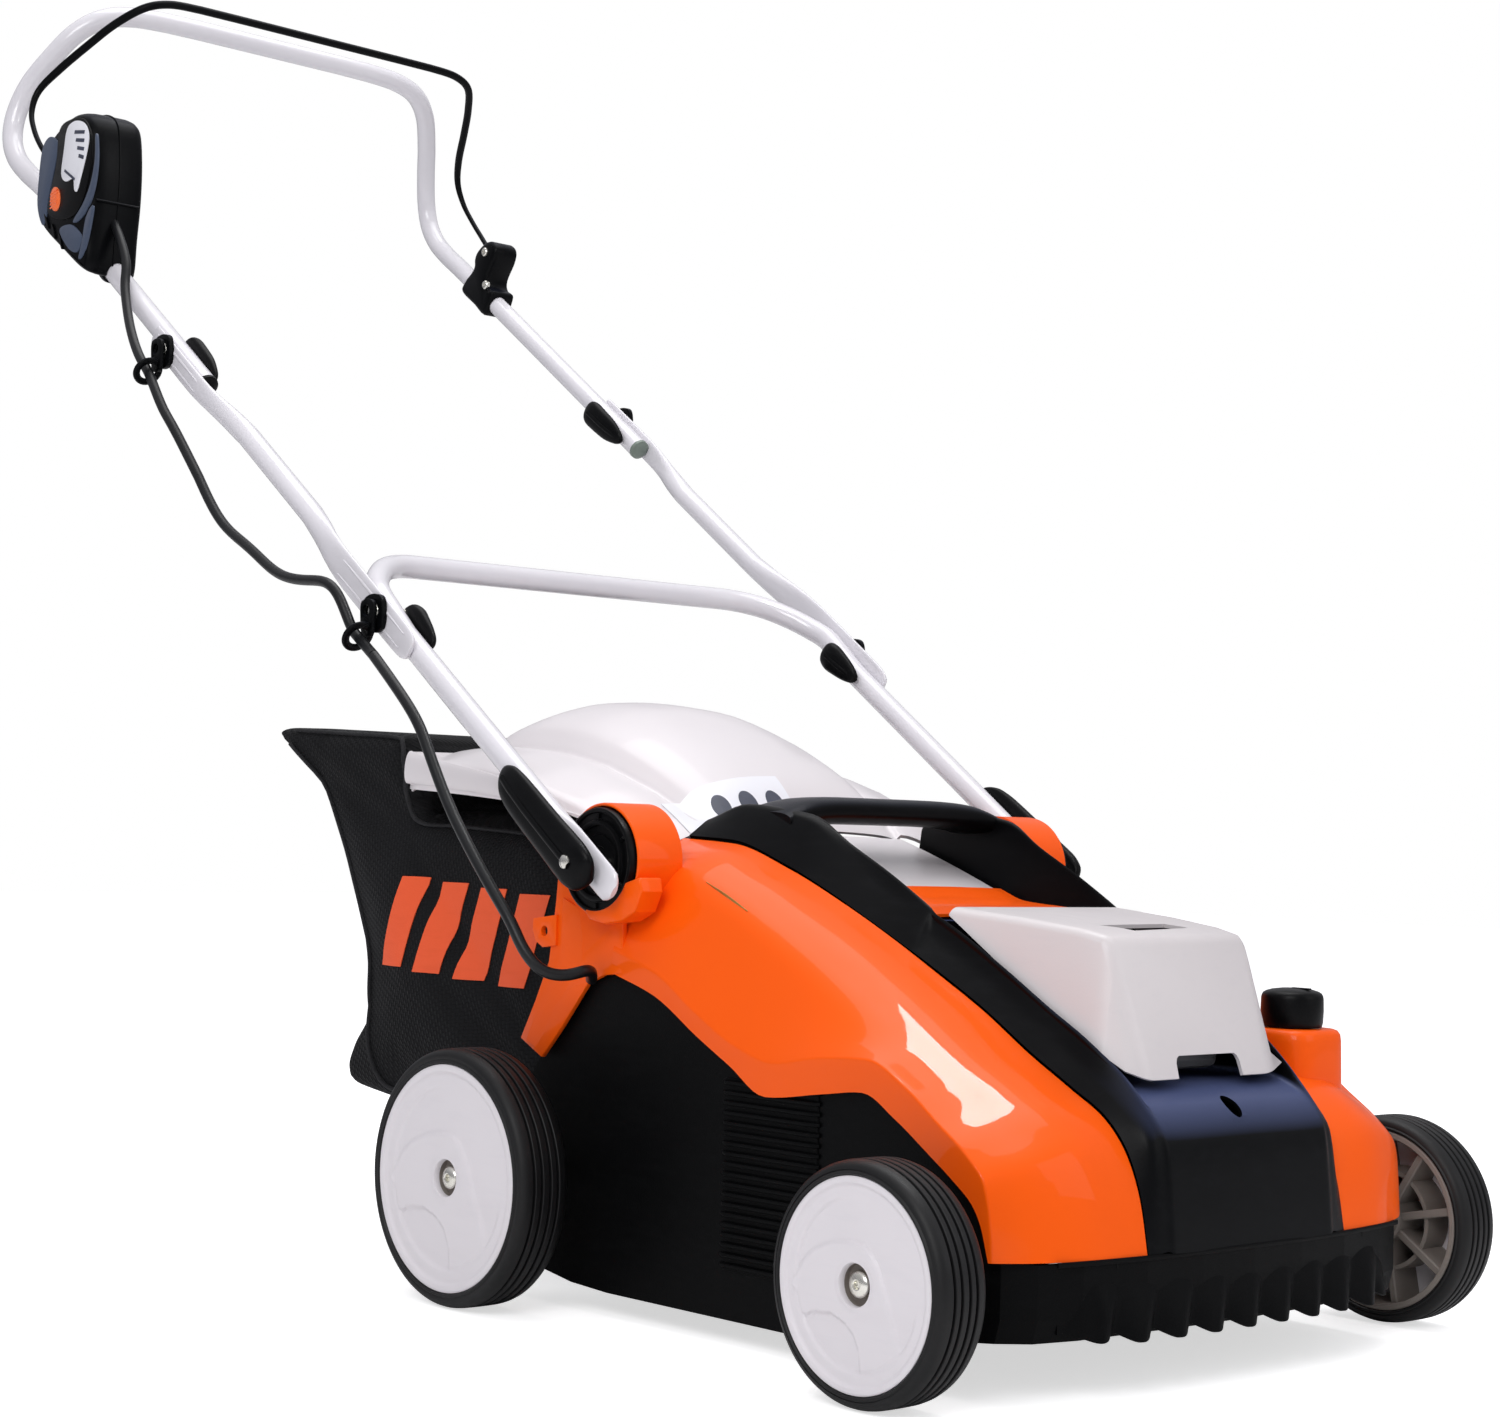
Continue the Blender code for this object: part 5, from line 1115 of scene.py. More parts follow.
def on_flap(x, y, lift):
    hit, normal, _, _ = FLAP_TREE.ray_cast(Vector((x, y, 0.6)), Vector((0, 0, -1)))
    return tuple(hit + normal * lift)


# Rolled rear and side edges.
roll = []
for k in range(61):
    s = -1 + 2 * k / 60
    drop = abs(s) ** 6
    roll.append((0.188 * s, 0.602 - 0.012 * drop, 0.3785 - 0.001 * drop))
SIDE_ROLL = ((0.188, 0.596, 0.3785), (0.1905, 0.56, 0.3745), (0.191, 0.5, 0.3675),
             (0.187, 0.455, 0.36))
piece("flap_roll", sweep(roll, (0.008, 0.013), 28, 0.85, (0, 1, 0)), WHITE_GLOSS, "flap")


def side_roll_size(i, t):
    return 0.0045 * (1 - 0.5 * t), 0.0128 * (1 - 0.5 * t)


for tag, sign in SIDES:
    path = catmull([(sign * x, y, z) for x, y, z in SIDE_ROLL], 8)
    piece(f"flap_side_roll_{tag}", sweep(path, side_roll_size, 20, 0.85), WHITE_GLOSS, "flap")

# Sign plate near the flap's front edge: a pale panel with three round marks.
SIGN_X, SIGN_Y = (-0.118, -0.006), (0.343, 0.377)
MARK_R = 0.008
sign_rows = [[on_flap(SIGN_X[0] + (SIGN_X[1] - SIGN_X[0]) * i / 12,
                      SIGN_Y[0] + (SIGN_Y[1] - SIGN_Y[0]) * k / 12, 0.0008)
              for k in range(13)] for i in range(13)]
piece("flap_sign", shell(sign_rows, 0.0006, FLAP_INNER, 50), LABEL, "flap")


def flap_disc(x, y):
    rows = [[on_flap(x + MARK_R * q * math.cos(a), y + MARK_R * q * math.sin(a), 0.0012)
             for a in (math.tau * k / 32 for k in range(33))] for q in (0.02, 0.5, 1.0)]
    return shell(rows, 0.0005, FLAP_INNER, 50)


marks = [flap_disc(-0.101 + 0.026 * k, 0.36 - 0.001 * k) for k in range(1, 4)]
piece("flap_sign_marks", joined(*marks), INK, "flap")

# ================================================================ battery ribs, rear cheeks
ribs = [sweep([(sign * 0.0431, 0.013 + 0.012 * k, z) for z in (0.212, 0.226, 0.24, 0.25)],
              (0.0014, 0.0024), 10, up=(0, 1, 0)) for sign in (-1, 1) for k in range(5)]
ribs += [sweep([(x, 0.026 + 0.008 * k, 0.2603) for x in (-0.024, -0.008, 0.008, 0.024)],
               (0.0014, 0.002), 10, up=(0, 1, 0)) for k in range(4)]
piece("battery_grip_ribs", joined(*ribs), BLACK, "chassis")

CHEEK = [(0.33, 0.135), (0.42, 0.135), (0.4285, 0.142), (0.429, 0.305), (0.424, 0.317),
         (0.412, 0.319), (0.348, 0.308), (0.33, 0.296)]
for tag, sign in SIDES:
    cheek = plate(CHEEK, 0.003, edge=0.0008)
    ribs = [sweep([(0.0022, y, z) for z in (0.15, 0.19, 0.24, 0.29)], (0.0012, 0.0018), 10,
                  up=(0, 1, 0)) for y in (0.356, 0.376, 0.396, 0.416)]
    piece(f"rear_cheek_{tag}", moved(joined(cheek, *ribs), FROM_LEFT[tag] @ at(0.164, 0, 0)),
          BLACK_HOUSING, "chassis")

# ================================================================ catcher bag
# y, bottom z, top z, half width, how far the cloth sits inside these.
BAG = (
    (0.4345, 0.12, 0.324, 0.16, 0.003), (0.48, 0.112, 0.333, 0.168, 0.003),
    (0.56, 0.112, 0.338, 0.175, 0.003), (0.616, 0.114, 0.342, 0.179, 0.003),
    (0.626, 0.115, 0.408, 0.18, 0.003), (0.656, 0.12, 0.41, 0.181, 0.003),
    (0.672, 0.225, 0.411, 0.182, 0.003), (0.708, 0.3, 0.412, 0.183, 0.003),
    (0.74, 0.362, 0.413, 0.184, 0.002), (0.794, 0.4035, 0.414, 0.185, 0.0018),
)


def bag_ring(y, low, high, half, margin):
    """A rectangle across the bag with rounded corners."""
    low, high, half = low + margin, high - margin, half - margin
    h = (high - low) / 2
    c = max(0.0006, min(0.016, h * 0.6))
    mid = (low + high) / 2
    pts = []
    for sx, sz, start in ((1, 1, 0), (-1, 1, 90), (-1, -1, 180), (1, -1, 270)):
        for k in range(7):
            a = math.radians(start + 90 * k / 6)
            pts.append((sx * (half - c) + c * math.cos(a), y,
                        mid + sz * (h - c) + c * math.sin(a)))
    return pts


def swollen(bag):
    """The bag after a cloth simulation under light pressure, with its push capped."""
    obj = bpy.data.objects.new("bag_sim", bag)
    bpy.context.scene.collection.objects.link(obj)
    remesh = obj.modifiers.new("remesh", "REMESH")
    remesh.mode = "VOXEL"
    remesh.voxel_size = 0.0055
    bpy.context.view_layer.update()
    dense = evaluated(obj)
    obj.modifiers.clear()
    obj.data = dense
    start = np.array([v.co[:] for v in dense.vertices])
    # Held: the mouth, the rear end and the flat top panel.
    held = [i for i, p in enumerate(start)
            if p[1] < 0.442 or p[1] > 0.785 or (p[2] > 0.395 and p[1] > 0.632)]
    pins = obj.vertex_groups.new(name="pins")
    pins.add(held, 1.0, "REPLACE")
    cloth = obj.modifiers.new("cloth", "CLOTH")
    settings = cloth.settings
    settings.quality = 6
    settings.mass = 0.25
    settings.tension_stiffness = settings.compression_stiffness = 40
    settings.bending_stiffness = 1.2
    settings.use_pressure = True
    settings.uniform_pressure_force = 3.0
    settings.effector_weights.gravity = 0
    settings.vertex_group_mass = "pins"
    cloth.collision_settings.use_collision = False
    cloth.collision_settings.use_self_collision = False
    for frame_no in range(1, 19):
        bpy.context.scene.frame_set(frame_no)
    done = evaluated(obj)
    push = np.array([v.co[:] for v in done.vertices]) - start
    length = np.linalg.norm(push, axis=1, keepdims=True)
    longest = 0.0085
    push *= np.minimum(1.0, longest / np.maximum(length, 1e-9))
    bpy.data.objects.remove(obj, do_unlink=True)
    bpy.context.scene.frame_set(1)
    for v, p in zip(done.vertices, start + push):
        v.co = p
    return applied(done, ("SMOOTH", {"factor": 0.5, "iterations": 2}),
                   ("SUBSURF", {"levels": 1, "render_levels": 1}))


rings = []
for a, b in zip(BAG, BAG[1:]):
    for k in range(4):
        rings.append(bag_ring(*[p + (q - p) * k / 4 for p, q in zip(a[:4], b[:4])], a[4]))
rings.append(bag_ring(*BAG[-1]))
bag = loft(rings, 60)
bag = swollen(bag)
# Slack folds: shallow waves that die out at the seams, and a swell at the lower rear.
for v in bag.vertices:
    p = Vector(v.co)
    fall = ease(p.z, 0.125, 0.2) * ease(0.395 - p.z, 0.0, 0.03) * ease(p.y, 0.44, 0.47)
    broad = noise.noise(Vector((p.x * 3, p.y * 9 + p.z * 4, p.z * 7)))
    tight = noise.noise(Vector((p.x * 8, p.y * 22 - p.z * 14, p.z * 24)))
    wave = broad * 0.0028 + tight * 0.0011
    swell = (0.034 * ease(0.19 - p.z, 0.0, 0.05) * ease(p.z, 0.108, 0.132)
             * ease(p.y, 0.6, 0.655))
    outward = Vector((math.copysign(1, p.x) if abs(p.x) > 0.15 else 0,
                      0.5 if p.y > 0.64 else 0, 0))
    v.co = p + outward * wave * fall + Vector((0, swell, 0))
bag.shade_smooth()
BAG_TREE = surface_of(piece("bag_cloth", bag, FABRIC, "catcher", "catcher_bag"))


def on_bag(sign, y, z, lift=0.0008):
    """The point of the bag's side at (y, z)."""
    start, inwards = Vector((sign * 0.3, y, z)), Vector((-sign, 0, 0))
    hit, normal, _, _ = BAG_TREE.ray_cast(start, inwards)
    if hit is None:      # the line passes beside the bag
        hit, normal, _, _ = BAG_TREE.find_nearest(start)
    elif normal.dot(inwards) > 0:
        normal = -normal
    return hit + normal * lift


# Bound seams on each side along the upper edge and along the lower edge, as (y, z).
SEAMS = {
    "top": ((0.442, 0.319), (0.48, 0.328), (0.56, 0.333), (0.61, 0.336), (0.623, 0.36),
            (0.628, 0.395), (0.64, 0.402), (0.7, 0.405), (0.77, 0.4085)),
    "low": ((0.442, 0.133), (0.52, 0.126), (0.6, 0.127), (0.642, 0.134), (0.66, 0.19),
            (0.666, 0.233), (0.699, 0.304), (0.73, 0.36), (0.775, 0.398)),
}
for tag, sign in SIDES:
    for level, line in SEAMS.items():
        path = [on_bag(sign, p.x, p.y) for p in catmull([(y, z, 0) for y, z in line], 6)]
        piece(f"bag_seam_{level}_{tag}", sweep(path, (0.0016, 0.0024), 10, up=(0, 0, 1)),
              BINDING, "catcher")
# Four slanted bars on each side.
for tag, sign in SIDES:
    marks = []
    for k in range(4):
        rows = []
        for t in (i / 12 for i in range(13)):
            z = 0.224 - 0.003 * k + 0.07 * t
            rows.append([on_bag(sign, 0.626 - 0.045 * k - 0.03 * s + 0.012 * (1 - t) - 0.012 * t,
                                z, 0.0009) for s in (j / 6 for j in range(7))])
        marks.append(shell(rows, 0.0007, (0, 0.55, 0.25), 50))
    piece(f"bag_print_{tag}", joined(*marks, angle=50), PRINT, "catcher")

# ================================================================ lower handle tube
# Stations past the pivot over the pressed foot of each leg.
FOOT_STATIONS = (-0.0335, -0.0315, -0.028, -0.022, -0.012, 0.0, 0.012, 0.022, 0.03, 0.038,
                 0.046, 0.056)
FOOT_SIZES = ((0.002, 0.005), (0.003, 0.0085), (0.0038, 0.0115))   # at the first three
LOWER_BEND = ((0.233, 0.577, 0.5065), (0.227, 0.591, 0.515), (0.216, 0.606, 0.524),
              (0.199, 0.622, 0.5325), (0.175, 0.635, 0.5375), (0.145, 0.64, 0.5385))
half = [leg(TILT_PIVOT, s, LEG_X) for s in FOOT_STATIONS + (0.07, 0.1, 0.16, 0.22, 0.28)]
half += catmull([leg(LOWER_JOINT, 0.008, LEG_X), *LOWER_BEND], 7)
half += [Vector((x, 0.64, 0.5385)) for x in (0.11, 0.07, 0.03, 0.0)]
lower_path = mirrored(half)


def lower_size(i, t):
    k = min(i, len(lower_path) - 1 - i)
    if k < len(FOOT_SIZES):
        return FOOT_SIZES[k]
    s = FOOT_STATIONS[k] if k < len(FOOT_STATIONS) else 1
    flat = 1 - ease(s, 0.02, 0.052)
    return TUBE_R * (1 - flat) + 0.004 * flat, TUBE_R * (1 - flat) + 0.0122 * flat


piece("handle_lower_tube", sweep(lower_path, lower_size, 32), TUBE, "lower_handle", "lower_bar")

# ================================================================ upper handle tube
GRIP = ((LEG_X, 1.118, 0.8937), (0.2355, 1.144, 0.911), (0.2375, 1.169, 0.927),
        (0.2385, 1.19, 0.944), (0.2375, 1.2025, 0.964), (0.234, 1.2045, 0.988),
        (0.2265, 1.196, 1.015), (0.215, 1.18, 1.039), (0.199, 1.162, 1.064),
        (0.178, 1.15, 1.08), (0.15, 1.144, 1.087), (0.115, 1.142, 1.089))
grip = catmull(GRIP, 7)
half = [leg(UPPER_JOINT, s, LEG_X) for s in (-0.058, -0.02, 0.02, 0.1, 0.18, 0.26)]
half += grip + [Vector((x, 1.142, 1.0895)) for x in (0.08, 0.04, 0.0)]
piece("handle_upper_tube", sweep(mirrored(half), TUBE_R, 32), TUBE, "upper_handle", "upper_bar")
for tag, sign in SIDES:
    plug = revolve([(0, 0.0016), (0.0062, 0.0014), (0.0078, 0.0004), (0.0094, -0.0002),
                    (0.0096, -0.003), (0.0092, -0.0034), (0, -0.0034)], 40)
    down = (-ALONG).to_track_quat("Z", "X").to_matrix().to_4x4()
    plug = moved(plug, Matrix.Translation(leg(UPPER_JOINT, -0.0582, sign * LEG_X)) @ down)
    piece(f"tube_plug_{tag}", plug, PLUG if sign > 0 else BLACK, "upper_handle")

# ================================================================ middle handle tubes
FLAT_X = TUBE_R + 0.0005 + 0.002    # middle of the pressed ends, outwards from the legs
# Place along from the joint, offset outwards, half thickness, half width, corner power.
MIDDLE = (
    (-0.0535, FLAT_X, 0.0012, 0.0045, 0.8), (-0.0525, FLAT_X, 0.0018, 0.0075, 0.75),
    (-0.049, FLAT_X, 0.002, 0.01, 0.7), (-0.044, FLAT_X, 0.002, 0.0116, 0.65),
    (-0.03, FLAT_X, 0.002, 0.0125, 0.6), (0.04, FLAT_X, 0.002, 0.013, 0.6),
    (0.066, FLAT_X * 0.94, 0.0026, 0.0127, 0.7), (0.09, FLAT_X * 0.7, 0.0045, 0.0118, 0.9),
    (0.115, FLAT_X * 0.28, 0.0075, 0.0105, 1.0), (0.14, 0.0, TUBE_R, TUBE_R, 1.0),
)
lower_end = [tuple(row) for row in smooth_table(MIDDLE, 4)]
upper_end = [(MID_LEN - s, dx, hx, hw - 0.003 * ease(hw, TUBE_R, 0.0125), power)
             for s, dx, hx, hw, power in reversed(lower_end)]
stations = lower_end + [(MID_LEN / 2, 0.0, TUBE_R, TUBE_R, 1.0)] + upper_end
# Grooves pressed in the flat ends: start, end, distance from the middle line.
GROOVES = ((-0.04, 0.062, 0.0062), (MID_LEN - 0.062, MID_LEN + 0.02, 0.0045))


def groove_size(i, t):
    return 0.0007, 0.0013 * math.sin(math.pi * (0.06 + 0.88 * t)) + 0.0002


for tag, sign in SIDES:
    rings = []
    for s, dx, hx, hw, power in stations:
        s = s - 0.0255 * ease(s, MID_LEN + 0.02, MID_LEN + 0.054)   # shortens the upper end
        rings.append([leg(LOWER_JOINT, s, sign * (LEG_X + (dx + u)), v)
                      for u, v in oval(hx, hw, 32, power)])
    grooves = []
    for start, end, offset in GROOVES:
        for across in (-offset, offset):
            path = [leg(LOWER_JOINT, start + (end - start) * k / 10,
                        sign * (LEG_X + FLAT_X + 0.002), across) for k in range(11)]
            grooves.append(sweep(path, groove_size, 8))
    piece(f"handle_middle_tube_{tag}", joined(loft(rings, 45), *grooves, angle=45), TUBE,
          "middle_handle", f"middle_tube_{tag}")

# ================================================================ joints and levers
# Level, joint, top of its quick lever along the handle.
JOINTS = (("lower", LOWER_JOINT, 0.003), ("upper", UPPER_JOINT, 0.018))
LEVER_LEN, LEVER_WIDTH, LEVER_DEPTH = 0.044, 0.024, 0.013
LEVER_GAP = 0.0009
CLIP = [(0.0135, 0.0), (0.0105, 0.0095), (0.0, 0.0128), (-0.011, 0.01), (-0.014, -0.002),
        (-0.012, -0.013), (-0.003, -0.0165), (0.008, -0.013)]


def joint_screw():
    return revolve([(0, 0.019), (0.0035, 0.0189), (0.0056, 0.018), (0.0068, 0.0166),
                    (0.0071, 0.015), (0.0075, 0.0148), (0.0076, 0.0141), (0.0034, 0.0141),
                    (0.0034, -0.0135), (0, -0.0135)], 48)


def quick_lever(joint, top):
    """A half teardrop with a thumb ridge, inside the right leg."""
    tall = LEVER_LEN
    # Place along, share of the width, share of the depth.
    spec = [(top, 0.3, 0.35), (top - 0.0015, 0.55, 0.62), (top - 0.005, 0.85, 0.85),
            (top - 0.014, 1.0, 1.0), (-0.45 * tall, 0.92, 0.85), (-0.75 * tall, 0.7, 0.62),
            (-0.92 * tall, 0.46, 0.44), (-0.98 * tall, 0.28, 0.3), (-tall, 0.12, 0.16)]
    depth = LEVER_DEPTH
    rings = []
    for s, w, d in smooth_table(spec, 4):
        ring = []
        for u, v in oval(d * depth / 2, w * LEVER_WIDTH / 2, 28, 0.8, 0.9):
            inwards = depth / 2 + u - (1 - d) * depth * 0.3
            ring.append(leg(joint, s, -(LEG_X - TUBE_R - LEVER_GAP - inwards), v))
        rings.append(ring)
    line = ((top - 0.01, 0.985), (-0.35 * tall, 0.93), (-0.55 * tall, 0.82),
            (-0.72 * tall, 0.68), (-0.86 * tall, 0.52))
    ridge = sweep([leg(joint, s, -(LEG_X - TUBE_R - LEVER_GAP - depth * q)) for s, q in line],
                  (0.0011, 0.002), 10)
    return joined(loft(rings, 50), ridge, angle=50)


# Long lever at the tilt pivot: place along, half width, depth.
TILT_LEVER = ((-0.0205, 0.002, 0.002), (-0.0195, 0.006, 0.005), (-0.014, 0.014, 0.01),
              (0.0, 0.017, 0.012), (0.03, 0.016, 0.012), (0.075, 0.015, 0.011),
              (0.092, 0.013, 0.0092), (0.1, 0.0095, 0.007), (0.1055, 0.0045, 0.004),
              (0.1065, 0.002, 0.0025))
TILT_RIDGE = ((-0.005, 0.0122), (0.03, 0.0121), (0.06, 0.0116), (0.085, 0.01), (0.098, 0.008))


def tilt_lever(sign):
    rings = [[leg(TILT_PIVOT, s, sign * (LEG_X + TUBE_R + 0.0008 + d / 2 + u), v)
              for u, v in oval(d / 2, w, 32, 0.8, 0.75)]
             for s, w, d in smooth_table(TILT_LEVER, 4)]
    ridge = sweep([leg(TILT_PIVOT, s, sign * (LEG_X + TUBE_R + 0.0008 + out))
                   for s, out in TILT_RIDGE], (0.0012, 0.0026), 10)
    return joined(loft(rings, 45), ridge, angle=45)


def tilt_screw():
    return revolve([(0, 0.0236), (0.003, 0.0234), (0.0046, 0.0226), (0.005, 0.0212),
                    (0.005, 0.02), (0.0034, 0.02), (0.0034, -0.022), (0, -0.022)], 40)


def detent_hub():
    """A stepped disc with raised rings and six short teeth."""
    disc = revolve([(0, 0.0066), (0.01, 0.0066), (0.0106, 0.0074), (0.018, 0.0074),
                    (0.0186, 0.0062), (0.024, 0.0062), (0.0246, 0.009), (0.0262, 0.0094),
                    (0.028, 0.009), (0.0286, 0.0072), (0.033, 0.0072), (0.0336, 0.0088),
                    (0.0352, 0.0092), (0.0364, 0.0086), (0.0368, 0.007), (0.0368, -0.009),
                    (0, -0.009)], 96)
    teeth = [moved(block((0.029, -0.0011, 0.006), (0.0328, 0.0011, 0.009), 0.0004, 1),
                   Matrix.Rotation(math.radians(a), 4, "Z")) for a in range(0, 360, 60)]
    return joined(disc, *teeth)


for tag, sign in SIDES:
    flip = FROM_RIGHT[tag]
    for level, joint, top in JOINTS:
        body = f"{level}_handle"
        piece(f"{level}_joint_screw_{tag}", moved(joint_screw(), flip @ at(-LEG_X, *joint, RIGHT)),
              ZINC, body, f"{level}_joint_bolt_{tag}")
        piece(f"{level}_quick_lever_{tag}", moved(quick_lever(joint, top), flip), BLACK,
              f"{level}_lever_{tag}", f"{level}_clamp_lever_{tag}")
        # Bracket plate round the screw, outside the tube.
        clip = plate(round_loop(CLIP), 0.0042, circle(0.008, 28), edge=0.0009)
        piece(f"{level}_clip_plate" + ("_left" if sign > 0 else ""),
              moved(clip, at(sign * (LEG_X + 0.016), *joint)), BLACK_SATIN, body)
    piece(f"tilt_lever_{tag}", tilt_lever(sign), BLACK, f"pivot_lever_{tag}",
          f"pivot_lever_{tag}")
    piece(f"tilt_screw_{tag}", moved(tilt_screw(), flip @ at(-0.2345, *TILT_PIVOT, RIGHT)), ZINC,
          "lower_handle", f"pivot_bolt_{tag}")
    piece(f"detent_hub_{tag}", moved(detent_hub(), flip @ at(-0.214, *CUP, RIGHT)), BLACK,
          "chassis", f"detent_disc_{tag}")


# ================================================================ switch box, right leg
def inset_body(loop, levels, angle):
    """A body along X from one (y, z) outline, drawn in at each (x, inset)."""
    return loft([[(x, y, z) for y, z in inset(loop, d)] for x, d in levels], angle)


def grip_channel(sign):
    """The space the upper tube takes up inside the boxes."""
    path = [leg(UPPER_JOINT, s, sign * LEG_X) for s in (0.05, 0.12, 0.2, 0.26)]
    path += [Vector((sign * p.x, p.y, p.z)) for p in grip if p.z < 0.99]
    return sweep(path, TUBE_R + 0.0007, 20)


SWITCH = [(1.095, 0.925), (1.07, 0.942), (1.04, 0.953), (1.015, 0.952), (0.998, 0.94),
          (0.992, 0.91), (0.992, 0.875), (0.996, 0.842), (0.999, 0.813), (1.01, 0.809),
          (1.05, 0.833), (1.088, 0.859), (1.1, 0.883), (1.098, 0.908)]
SWITCH_LEVELS = ((-0.2155, 0.005), (-0.2165, 0.003), (-0.2195, 0.001), (-0.224, 0.0),
                 (-0.242, 0.0), (-0.252, 0.0004), (-0.258, 0.0014), (-0.2618, 0.0028),
                 (-0.2638, 0.0044), (-0.2645, 0.006))
BUTTON_Y, BUTTON_Z = 1.0577, 0.8801
FACE_X = -0.2646      # outer face of the box

switch_loop = round_loop(SWITCH)
switch = cut(inset_body(switch_loop, SWITCH_LEVELS, 60), grip_channel(-1))
# The button's well is deep enough for its full travel.
well = revolve([(0, 0.016), (0.0126, 0.016), (0.0126, -0.016), (0, -0.016)], 40)
switch = cut(switch, moved(well, at(-0.264, BUTTON_Y, BUTTON_Z, RIGHT)))
if len(switch.polygons) < 50:   # guards against a failed cut that leaves next to nothing
    switch = inset_body(switch_loop, SWITCH_LEVELS, 60)
piece("switch_shell", shade(switch, 40), BLACK_SATIN, "upper_handle", "switch_box")


def face(points, depth=0.0022, edge=0.0006, x=FACE_X, per=5):
    """A raised shape on the outer face."""
    return moved(plate(round_loop(points, per), depth, edge=edge), at(x, 0, 0))


WING = [(1.087, 0.931), (1.074, 0.939), (1.058, 0.93), (1.064, 0.908), (1.073, 0.883),
        (1.076, 0.866), (1.083, 0.861), (1.093, 0.88), (1.092, 0.908)]
CRESCENT = [(1.025, 0.856), (1.008, 0.869), (0.996, 0.885), (0.99, 0.905), (0.9905, 0.926),
            (0.987, 0.923), (0.985, 0.9), (0.99, 0.878), (1.002, 0.861), (1.017, 0.854)]
LOW_BAND = [(1.05, 0.851), (1.033, 0.854), (1.018, 0.848), (1.008, 0.838), (1.016, 0.827),
            (1.033, 0.833)]
LOW_FRONT = [(1.002, 0.856), (0.99, 0.864), (0.996, 0.84), (1.005, 0.823), (1.013, 0.821),
             (1.008, 0.835)]
FACE_RIM = [(1.056, 0.942), (1.035, 0.948), (1.012, 0.944), (0.999, 0.93), (0.996, 0.909),
            (1.004, 0.88), (1.02, 0.862), (1.048, 0.86), (1.072, 0.87), (1.07, 0.885),
            (1.06, 0.912)]
FACE_LABEL = [(1.04, 0.94), (1.025, 0.9445), (1.008, 0.939), (1.0, 0.927), (1.003, 0.912),
              (1.013, 0.89), (1.018, 0.881), (1.023, 0.883), (1.026, 0.893), (1.04, 0.893),
              (1.048, 0.901), (1.045, 0.92)]
wing = joined(*[face(shape) for shape in (WING, CRESCENT, LOW_BAND, LOW_FRONT)])
piece("switch_face_wing", wing, BLUE_GREY, "upper_handle")
piece("switch_face_rim", face(FACE_RIM, 0.003, 0.001), BLACK, "upper_handle")
piece("switch_label", face(FACE_LABEL, 0.001, 0.0002, FACE_X - 0.0017), LABEL, "upper_handle")
# Four bars on the label and a slanted one below them.
bars = [[(1.007, 0.933 - 0.0075 * k), (1.008, 0.93 - 0.0075 * k),
         (1.026 - 0.003 * k, 0.933 - 0.0075 * k), (1.025 - 0.003 * k, 0.936 - 0.0075 * k)]
        for k in range(4)]
bars.append([(1.042, 0.902), (1.041, 0.904), (1.022, 0.893), (1.023, 0.891)])
piece("switch_label_marks", joined(*[face(b, 0.0008, 0.0001, FACE_X - 0.0022, 1) for b in bars]),
      INK, "upper_handle")
notches = [face([(1.079 - 0.014 * k, 0.87 - 0.011 * k), (1.075 - 0.014 * k, 0.866 - 0.011 * k),
                 (1.07 - 0.013 * k, 0.856 - 0.011 * k), (1.074 - 0.014 * k, 0.858 - 0.011 * k)],
                0.0026, 0.0004) for k in range(3)]
piece("switch_notches", joined(*notches), BLACK, "upper_handle")
# Parting line round the body and a raised seam on the front side.
seam_path = [(-0.24, y, z) for y, z in inset(switch_loop, -0.0002)]
seam = sweep(seam_path + [seam_path[0]], (0.0006, 0.0009), 8)
ledge = sweep([(x, 0.9915, 0.87) for x in (-0.262, -0.256, -0.248, -0.24, -0.23, -0.22)],
              (0.0012, 0.0012), 10, up=(0, 0, 1))
piece("switch_seams", joined(seam, ledge), BLACK_SATIN, "upper_handle")

# Oval safety button: height and share of its full size.
BUTTON = ((-0.004, 1.0), (0.0, 1.0), (0.008, 1.0), (0.0094, 0.95), (0.0102, 0.8),
          (0.0106, 0.45), (0.0107, 0.05))
button = []
for height, share in BUTTON:
    ring = []
    for a in turns(48):
        u, v = 0.009 * math.cos(a) * share, 0.0118 * math.sin(a) * share
        ring.append((-0.2575 - height, BUTTON_Y + u * 0.94 + v * 0.3,
                     BUTTON_Z - u * 0.3 + v * 0.94))
    button.append(ring)
treads = [sweep([(-0.2679, BUTTON_Y + u, BUTTON_Z + v - 0.25 * u)
                 for u in (-0.006, -0.003, 0.0, 0.003, 0.006)], (0.0006, 0.0007), 8)
          for v in (-0.0064, -0.0032, 0.0, 0.0032, 0.0064)]
piece("safety_key", joined(loft(button, 40), *treads), ORANGE_KEY, "release_button",
      "safety_button")
boss = revolve([(0, 0.004), (0.0052, 0.0036), (0.0062, 0.002), (0.0062, -0.006), (0, -0.006)],
               32)
boss_turn = Matrix.Rotation(math.radians(-40), 4, "X")
piece("bail_boss_right", moved(boss, at(-0.247, 1.0955, 0.9165, boss_turn)), BLACK_SATIN,
      "upper_handle")


def lip_size(i, t):
    return (0.013, 0.0128) if i in (1, 2) else (0.0118, 0.0116)


lip_path = [leg((1.01, 0.8165), s, -LEG_X) for s in (-0.006, -0.003, 0.0, 0.004)]
piece("switch_tube_lip", sweep(lip_path, lip_size, 36), BLACK_SATIN, "upper_handle")


# ================================================================ pivot box, left leg
def box_yz(along, across):
    return (1.1 + ALONG.y * along + ACROSS.y * across,
            0.8808 + ALONG.z * along + ACROSS.z * across)


